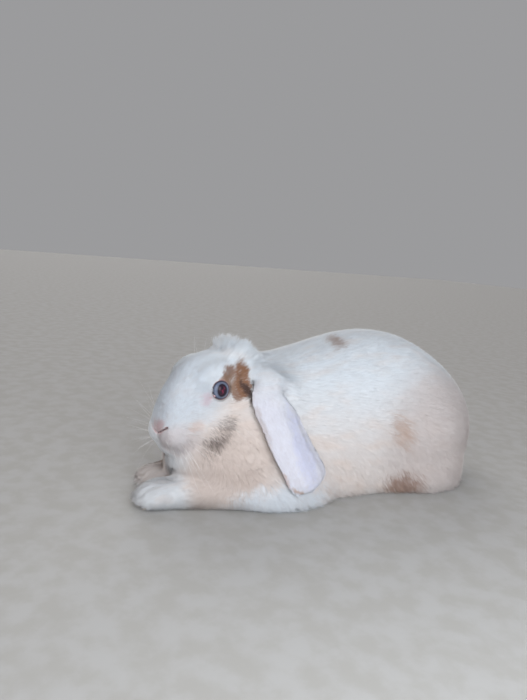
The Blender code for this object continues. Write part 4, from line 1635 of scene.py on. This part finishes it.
@dataclass
class Coat:
    """Grows the tufts over the skin and joins them into one piece for each part."""

    skin: Skin
    finishes: dict[str, bpy.types.Material]
    seed: int = 11
    lock_size: int = 16  # tufts in a lock
    lock_reach: float = 6.0 * MM
    lock_stray: float = 1.5 * MM  # how far a standing lock's tips stray together
    fringe: float = 4.0 * MM  # how far hair by the floor splays out
    longest_fringe: float = 4.3 * MM
    back_height: float = 0.080  # where the back's piece ends and the flank's begins
    leader: Array = field(default_factory=lambda: np.zeros(0, dtype=int))

    def grow(self) -> Tufts:
        """Spreads the roots evenly over the skin and gives each tuft its own lie."""
        surface, rng = self.skin.surface, np.random.default_rng(self.seed)
        coat = CoatField.over(surface.points, self.skin.shares)
        corners = surface.triangles
        a, b, c = (surface.points[corners[:, i]] for i in range(3))
        area = 0.5 * np.linalg.norm(np.cross(b - a, c - a), axis=1)
        density = coat.density * self.thinning(surface)
        total = np.cumsum(area * density[corners].mean(axis=1))
        count = int(total[-1])
        marks = (np.arange(count) + rng.random(count)) * (total[-1] / count)
        triangle = np.minimum(np.searchsorted(total, marks), len(total) - 1)
        u, v = np.sqrt(rng.random(count)), rng.random(count)
        inner = np.stack([1 - u, u * (1 - v), u * v], axis=1)

        def carried(values: Array) -> Array:
            """Values of the vertices, at the roots."""
            own = values[corners[triangle]]
            shape = (count, 3) + (1,) * (own.ndim - 2)
            return (own * inner.reshape(shape)).sum(axis=1)

        root, normal = carried(surface.points), unit(carried(surface.normals))
        shares = carried(self.skin.shares)
        way = lie_of_the_hair(root, normal, shares)
        self.leader = self.leaders(root, rng)
        lock = rng.normal(size=(count, 3))[self.leader]
        return Tufts(
            root, normal, way, carried(coat.length), carried(coat.width), carried(coat.depth),
            carried(coat.stand), carried(coat.swing), carried(coat.clump), lock, shares, triangle, inner,
        )

    def leaders(self, root: Array, rng: np.random.Generator) -> Array:
        """For each tuft, the tuft that leads its lock."""
        chosen = np.sort(rng.choice(len(root), max(1, len(root) // self.lock_size), replace=False))
        tree = KDTree(len(chosen))
        for index, leader in enumerate(chosen):
            tree.insert(root[leader], index)
        tree.balance()
        return chosen[[tree.find(point)[1] for point in root]]

    def thinning(self, surface: Surface) -> Array:
        """Where the coat is thinner: on bare skin, inside the lids, and under the body."""
        keep = 1.0 - rise(self.skin.bare, 0.35, 0.75)
        spot = HEAD_PLACE.to_head(surface.points)
        for eye in EYES.values():
            _, _, out = eye.axes(eye.opening_ahead)
            gap = spot - eye.centre()
            height = gap @ out
            far = np.sqrt(np.maximum((gap**2).sum(axis=1) - height**2, 0))
            keep *= np.where((height > 0) & (far < eye.opening + 0.7 * MM), 0.0, 1.0)
            keep *= np.where(gap_to(spot, eye.centre()) < eye.radius + 0.2 * MM, 0.0, 1.0)
        under = rise(-surface.normals[:, 2], 0.80, 0.97) * rise(surface.points[:, 2], 0.012, 0.006)
        return keep * (1.0 - under)

    def bend(self, tufts: Tufts, tree: BVHTree) -> tuple[Array, Array, Array]:
        """Works out each tuft's middle and tip, and the skin's direction at the tip.

        Args:
            tufts: The tufts.
            tree: The skin, to keep the tips at their height over it.

        Returns:
            The middles, the tips and the directions.
        """
        rng = np.random.default_rng(self.seed + 1)
        count = len(tufts.root)
        wave = swirl(tufts.root, scale=0.018, seed=3) * 0.9
        wave = wave + swirl(tufts.root, scale=0.0060, seed=4) * 0.35
        angle = np.radians(tufts.swing) * (rng.normal(size=count) * 0.75 + wave * 0.7)
        across = np.cross(tufts.normal, tufts.way)
        way = tufts.way * np.cos(angle)[:, None] + across * np.sin(angle)[:, None]
        length = tufts.length * rng.uniform(0.72, 1.18, count)
        over = tufts.depth * rng.uniform(0.78, 1.10, count)
        raised = tufts.stand * rng.uniform(0.75, 1.1, count)
        steep = np.clip(np.maximum(over / length, raised), 0.05, 0.92)
        over = np.where(tufts.stand > 0.15, np.maximum(over, length * steep * 0.9), over)
        level = length * np.sqrt(1.0 - steep**2)
        aim = tufts.root + way * level[:, None]
        tip, normal = np.empty_like(aim), np.empty_like(aim)
        for index, point in enumerate(aim):
            place, direction, _, _ = tree.find_nearest(Vector(point), 0.03)
            if place is None:
                tip[index], normal[index] = point, tufts.normal[index]
            else:
                tip[index], normal[index] = place, direction
        same = np.sum(normal * tufts.normal, axis=1) > 0.2
        normal = np.where(same[:, None], unit(normal + tufts.normal * 0.5), tufts.normal)
        tip = np.where(same[:, None], tip, aim)
        tip = tip + normal * over[:, None]
        tip = self.gather(tufts, tip, rng)
        paws = tufts.shares[:, INDEX[Region.FORELEG]]
        arch = (0.10 - 0.03 * paws) * length * (1.0 - 0.5 * steep)
        middle = 0.5 * (tufts.root + tip) + unit(tufts.normal + normal) * arch[:, None]
        outward = unit(tufts.normal * np.array([1.0, 1.0, 0.0]))
        tip = tip + outward * self.splay(tufts, rng)[:, None]
        for points in (middle, tip):
            floor = rng.uniform(0.15, 0.9, count) * MM
            under = np.maximum(floor - points[:, 2], 0.0)
            points += outward * np.minimum(0.6 * under, 2.5 * MM)[:, None]
            points[:, 2] = np.maximum(points[:, 2], floor)
        return middle, tip, normal

    def splay(self, tufts: Tufts, rng: np.random.Generator) -> Array:
        """How far the tips by the floor splay out, unevenly, so that they fray."""
        body = 1.0 - tufts.shares[:, INDEX[Region.EAR]] - tufts.shares[:, INDEX[Region.HEAD]]
        low = body * rise(tufts.root[:, 2], 0.020, 0.005)
        splay = low * rng.uniform(0.3, 1.2, len(low)) ** 2 * self.fringe
        fray = 0.55 + 0.85 * np.clip(np.abs(tufts.lock[:, 0]), 0.0, 1.5)
        splay *= blend(fray, 0.70, tufts.shares[:, INDEX[Region.FORELEG]])
        return np.minimum(splay, self.longest_fringe)

    def gather(self, tufts: Tufts, tip: Array, rng: np.random.Generator) -> Array:
        """Leans neighbouring tips together into small locks."""
        chosen = self.leader
        near = gap_to(tufts.root[chosen], tufts.root) < self.lock_reach
        share = tufts.clump * rng.uniform(0.4, 1.3, len(tip)) * near
        tip = tip + (tip[chosen] - tip) * share[:, None]
        return tip + tufts.lock * (self.lock_stray * tufts.stand)[:, None]

    def build(self) -> list[bpy.types.Object]:
        """Grows the coat and makes its pieces."""
        surface = self.skin.surface
        tree = BVHTree.FromPolygons(surface.points.tolist(), surface.triangles.tolist())
        tufts = self.grow()
        middle, tip, far_normal = self.bend(tufts, tree)
        main = np.argmax(tufts.shares, axis=1)
        left = tufts.root[:, 0] >= 0
        head_left = HEAD_PLACE.to_head(tufts.root)[:, 0] >= 0
        groups = self.groups(main, left, head_left, tufts.root[:, 2] >= self.back_height)
        pieces = []
        for name, chosen in groups.items():
            if chosen.any():
                blades = Blades(name, self.seed + 100 + len(pieces))
                piece = blades.build(
                    tufts.where(chosen), middle[chosen], tip[chosen], far_normal[chosen], surface,
                    self.finishes["ear" if name.startswith("coat_ear") else "body"],
                )
                pieces.append(piece)
                LOG.info("%s: %d tufts", name, int(chosen.sum()))
        return pieces

    def groups(self, main: Array, left: Array, head_left: Array, high: Array) -> dict[str, Array]:
        """Which tufts go into which piece."""
        def is_in(region: Region) -> Array:
            """The tufts of one region."""
            return main == INDEX[region]

        made = {
            "coat_face_left": is_in(Region.HEAD) & head_left,
            "coat_face_right": is_in(Region.HEAD) & ~head_left,
            "coat_neck": is_in(Region.NECK),
            "coat_tail": is_in(Region.TAIL),
        }
        for name, mask in (("left", left), ("right", ~left)):
            made["coat_ear_" + name] = is_in(Region.EAR) & mask
            made["coat_back_" + name] = is_in(Region.TRUNK) & mask & high
            made["coat_flank_" + name] = is_in(Region.TRUNK) & mask & ~high
            made["coat_haunch_" + name] = is_in(Region.HIND_LEG) & mask
            made["coat_foreleg_" + name] = is_in(Region.FORELEG) & mask
        return made


@dataclass
class Blades:
    """Builds one coat piece: each tuft a tapered blade of a quad and a triangle, bent once."""

    name: str
    seed: int
    loops: tuple[int, ...] = (0, 1, 2, 3, 3, 2, 4)  # the corners of a blade's two faces
    sunk: float = 0.4 * MM  # how deep the roots lie under the skin
    taper: float = 0.85  # the width at the bend over that at the root
    stray: float = 0.05  # how far single normals differ from the body's form
    seat_share: float = 0.72  # where a blade reads its colour, from root to tip

    def build(
        self, tufts: Tufts, middle: Array, tip: Array, far_normal: Array, surface: Surface,
        finish: bpy.types.Material,
    ) -> bpy.types.Object:
        """Makes the piece.

        Args:
            tufts: The piece's tufts.
            middle: Their bends.
            tip: Their ends.
            far_normal: The skin's direction near each tip.
            surface: The skin.
            finish: The piece's material.

        Returns:
            The piece, with its colour numbers, normals and bake map.
        """
        rng = np.random.default_rng(self.seed)
        count = len(tufts.root)
        root = tufts.root - tufts.normal * self.sunk
        axis = unit(middle - root)
        flat = unit(np.cross(axis, tufts.normal))
        lift = np.cross(flat, axis)
        roll = rng.uniform(-0.45, 0.45, count)
        wide = flat * np.cos(roll)[:, None] + lift * np.sin(roll)[:, None]
        half = (0.5 * tufts.width * rng.uniform(0.65, 1.25, count))[:, None]
        reach = wide * half
        bend = reach * self.taper
        points = np.stack([root - reach, root + reach, middle + bend, middle - bend, tip], axis=1)
        points[:, :, 2] = np.maximum(points[:, :, 2], 0.08 * MM)
        face = np.cross(points[:, 1] - points[:, 0], points[:, 3] - points[:, 0])
        flipped = np.sum(face * tufts.normal, axis=1) < 0
        points[flipped] = points[flipped][:, [1, 0, 3, 2, 4]]
        mesh = self.mesh_of(points)
        piece = link(self.name, mesh, finish)
        self.dress(mesh, tufts, far_normal, points, rng)
        self.unwrap(mesh, tufts, surface)
        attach(piece, BODY)
        return piece

    def mesh_of(self, points: Array) -> bpy.types.Mesh:
        """A mesh of blades from their five corners each."""
        count = len(points)
        mesh = bpy.data.meshes.new(self.name)
        mesh.vertices.add(count * 5)
        mesh.vertices.foreach_set("co", points.reshape(-1))
        loops = (np.arange(count)[:, None] * 5 + np.array(self.loops)).ravel()
        mesh.loops.add(len(loops))
        mesh.loops.foreach_set("vertex_index", loops.astype(np.int32))
        starts = (np.arange(count)[:, None] * 7 + np.array([0, 4])).ravel()
        mesh.polygons.add(count * 2)
        mesh.polygons.foreach_set("loop_start", starts.astype(np.int32))
        mesh.update(calc_edges=True)
        return mesh

    def dress(
        self, mesh: bpy.types.Mesh, tufts: Tufts, far_normal: Array, points: Array, rng: np.random.Generator
    ) -> None:
        """Gives the blades their numbers and normals that follow the body's form."""
        count = len(tufts.root)
        tone = rng.normal(0.58, 0.17, count) + 0.10 * tufts.lock[:, 0]
        tone = np.clip(tone + 0.10 * swirl(tufts.root, scale=0.0030, seed=9), 0, 1)
        add_numbers(mesh, "tone", np.repeat(tone, 5))
        add_numbers(mesh, "along", np.tile(np.array([0.0, 0.0, 0.55, 0.55, 1.0]), count))
        add_numbers(mesh, "ear", np.repeat(tufts.shares[:, INDEX[Region.EAR]], 5))
        seat = blend(tufts.root, points[:, 4], self.seat_share)
        made = mesh.attributes.new("seat", "FLOAT_VECTOR", "POINT")
        made.data.foreach_set("vector", np.repeat(seat, 5, axis=0).astype(np.float32).ravel())
        own = unit(np.cross(points[:, 1] - points[:, 0], points[:, 3] - points[:, 0]))
        own *= np.sign(np.sum(own * tufts.normal, axis=1))[:, None]

        def strayed(normal: Array) -> Array:
            """A normal of the body's form, a little different for each blade and lock."""
            single = rng.normal(0, self.stray, (count, 3))
            return unit(normal + 0.15 * own + single + self.stray * tufts.lock)

        near = strayed(tufts.normal)
        far = strayed(far_normal)
        far = np.where(np.sum(far * own, axis=1, keepdims=True) > 0.05, far, near)
        near = np.where(np.sum(near * own, axis=1, keepdims=True) > 0.05, near, own)
        between = unit(near + far)
        normals = np.stack([near, near, between, between, far], axis=1).reshape(-1, 3)
        mesh.normals_split_custom_set_from_vertices(normals.tolist())

    def unwrap(self, mesh: bpy.types.Mesh, tufts: Tufts, surface: Surface) -> None:
        """Lays each tuft's patch at its root's place on an unwrap of the skin."""
        used, place = np.unique(tufts.triangle, return_inverse=True)
        corners = surface.triangles[used]
        vertices, renumbered = np.unique(corners, return_inverse=True)
        sheet = bpy.data.meshes.new("unwrap")
        sheet.from_pydata(surface.points[vertices].tolist(), [], renumbered.reshape(-1, 3).tolist())
        holder = bpy.data.objects.new("unwrap", sheet)
        bpy.context.scene.collection.objects.link(holder)
        sheet.uv_layers.new(name=BAKE_MAP)
        bpy.context.view_layer.objects.active = holder
        for other in bpy.context.view_layer.objects:
            other.select_set(other is holder)
        bpy.ops.object.mode_set(mode="EDIT")
        bpy.ops.mesh.select_all(action="SELECT")
        bpy.ops.uv.smart_project(angle_limit=math.radians(66), island_margin=0.004)
        bpy.ops.object.mode_set(mode="OBJECT")
        corner_uv = np.empty(len(sheet.loops) * 2)
        sheet.uv_layers[BAKE_MAP].data.foreach_get("uv", corner_uv)
        corner_uv = corner_uv.reshape(-1, 3, 2)
        bpy.data.objects.remove(holder)
        bpy.data.meshes.remove(sheet)
        middle = (corner_uv[place.ravel()] * tufts.corner_shares[:, :, None]).sum(axis=1)
        middle = np.clip(middle, BAKE_PATCH, 1.0 - BAKE_PATCH)
        shape = np.array([[-0.5, -0.5], [0.5, -0.5], [0.42, 0.05], [-0.42, 0.05], [0.0, 0.5]]) * BAKE_PATCH
        corners_uv = (middle[:, None, :] + shape[None])[:, list(self.loops)]
        layer = mesh.uv_layers.new(name=BAKE_MAP)
        layer.data.foreach_set("uv", corners_uv.reshape(-1))
        layer.active_render = True


# The studio


@dataclass
class Studio:
    """A plain pale floor, soft light and the camera."""

    floor_size: float = 6.0
    eye: Triple = (0.3891, -0.2640, 0.18)
    heading: tuple[float, float] = (0.883, 0.469)
    pitch: float = 90.0 - 9.54
    roll: float = 4.77
    sensor: float = 36.0
    lens: float = 29.67
    aim: Triple = (0.0, -0.02, 0.06)  # the place that the near lights face
    surround: Colour = (0.80, 0.80, 0.82)
    surround_strength: float = 0.41

    def floor(self) -> None:
        """A broad floor just under the rabbit."""
        bm = bmesh.new()
        place = Matrix.Translation((0, 0, -0.05 * MM))
        bmesh.ops.create_grid(bm, x_segments=8, y_segments=8, size=self.floor_size, matrix=place)
        new_piece("floor", bm, FloorFinish().build())

    def hang(self, lamp: bpy.types.Light, place: Triple, aim: Triple) -> bpy.types.Object:
        """Puts a light at a place and turns it towards another."""
        holder = bpy.data.objects.new(lamp.name, lamp)
        holder.location = place
        holder.rotation_euler = (Vector(aim) - Vector(place)).to_track_quat("-Z", "Y").to_euler()
        bpy.context.scene.collection.objects.link(holder)
        return holder

    def light(self, name: str, place: Triple, softness: float, strength: float, colour: Colour) -> None:
        """One broad soft light that shines from a place towards the rabbit."""
        lamp = bpy.data.lights.new(name, "SUN")
        lamp.angle, lamp.energy, lamp.color = math.radians(softness), strength, colour
        self.hang(lamp, place, (0.0, 0.0, 0.0))

    def softbox(
        self, name: str, place: Triple, size: float, power: float, colour: Colour, in_eyes: bool
    ) -> None:
        """One near square light that fades towards both ends of the body.

        Args:
            name: The light's name.
            place: Where it stands.
            size: Its width.
            power: Its strength in watts.
            colour: Its colour.
            in_eyes: Whether the eyes and other wet places show it.
        """
        lamp = bpy.data.lights.new(name, "AREA")
        lamp.size, lamp.energy, lamp.color = size, power, colour
        self.hang(lamp, place, self.aim).visible_glossy = in_eyes

    def world(self) -> None:
        """An even pale surround."""
        made = bpy.data.worlds.new("surround")
        made.use_nodes = True
        background = made.node_tree.nodes["Background"]
        background.inputs["Color"].default_value = (*self.surround, 1.0)
        background.inputs["Strength"].default_value = self.surround_strength
        bpy.context.scene.world = made

    def camera(self) -> None:
        """The camera at the viewing angle."""
        made = bpy.data.cameras.new("camera")
        made.sensor_width, made.lens = self.sensor, self.lens
        made.clip_start, made.clip_end = 0.01, 50.0
        holder = bpy.data.objects.new("camera", made)
        turn = Matrix.Rotation(math.atan2(*self.heading), 4, "Z")
        turn @= Matrix.Rotation(math.radians(self.pitch), 4, "X")
        turn @= Matrix.Rotation(math.radians(self.roll), 4, "Z")
        holder.matrix_world = Matrix.Translation(self.eye) @ turn
        bpy.context.scene.collection.objects.link(holder)
        bpy.context.scene.camera = holder

    def build(self) -> None:
        """Sets it all up."""
        bpy.context.scene.view_settings.view_transform = "Standard"
        self.camera()
        self.floor()
        self.world()
        sun, box = self.light, self.softbox
        sun("key", (0.95, -0.40, 0.52), softness=45.0, strength=0.80, colour=(0.97, 0.985, 1.0))
        sun("front", (0.30, -0.95, 0.28), softness=60.0, strength=0.42, colour=(1.0, 0.98, 0.96))
        sun("back", (-0.95, 0.20, 0.45), softness=60.0, strength=1.25, colour=(1.0, 0.99, 0.97))
        box("softbox", (0.44, -0.13, 0.21), size=0.36, power=1.50, colour=(0.885, 0.95, 1.0), in_eyes=False)
        box("catchlight", (0.52, -0.20, 0.42), size=0.05, power=0.03, colour=WHITE, in_eyes=True)


def claw_tips(middle: float, ahead: float, spread: float, height: float) -> tuple[Triple, ...]:
    """The tips of the four claws on one foot.

    Args:
        middle: The middle of the toes, from side to side.
        ahead: Where the longest toes end.
        spread: The toes' spacing.
        height: The tips' height.

    Returns:
        One place for each claw.
    """
    setback = 1.8 * MM  # of each outer claw behind its neighbour
    toes = (-1.5, -0.5, 0.5, 1.5)
    return tuple((middle + toe * spread, ahead + setback * abs(toe), height) for toe in toes)


def main() -> None:
    """Builds the studio, the skin, the eyes and the coat, and reports each piece."""
    logging.basicConfig(level=logging.INFO, format="%(name)s %(relativeCreated)d %(message)s")
    Studio().build()
    skin = Skin()
    skin.build()
    skin.piece.data.materials.append(SkinFinish().build())
    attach(skin.piece, BODY)
    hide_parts(*FLESH)
    LOG.info("skin: %d triangles", len(skin.surface.triangles))
    eye_finish, wet, horn = EyeFinish().build(), WetFinish().build(), HornFinish().build()
    for side in SIDES:
        for piece in Eye(side, eye_finish, wet).build():
            LOG.info("%s", piece.name)
    tree = BVHTree.FromPolygons(skin.surface.points.tolist(), skin.surface.triangles.tolist())
    Whiskers(WhiskerFinish().build()).build(tree)
    LOG.info("whiskers")
    for side, paw in PAWS.items():
        tips = claw_tips(paw.side * paw.x, paw.tip - 0.6 * MM, paw.spread, height=2.8 * MM)
        Claws("claws_fore_" + side, horn, tips).build()
        tips = claw_tips(paw.side * 43.5 * MM, 30.5 * MM, spread=4.8 * MM, height=3.0 * MM)
        Claws("claws_hind_" + side, horn, tips).build()
    LOG.info("claws")
    finishes = {
        "body": CoatFinish("coat_hair").build(),
        "ear": CoatFinish("ear_hair", roughness=0.55).build(),
    }
    Coat(skin, finishes).build()
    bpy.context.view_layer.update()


if __name__ == "__main__":
    main()
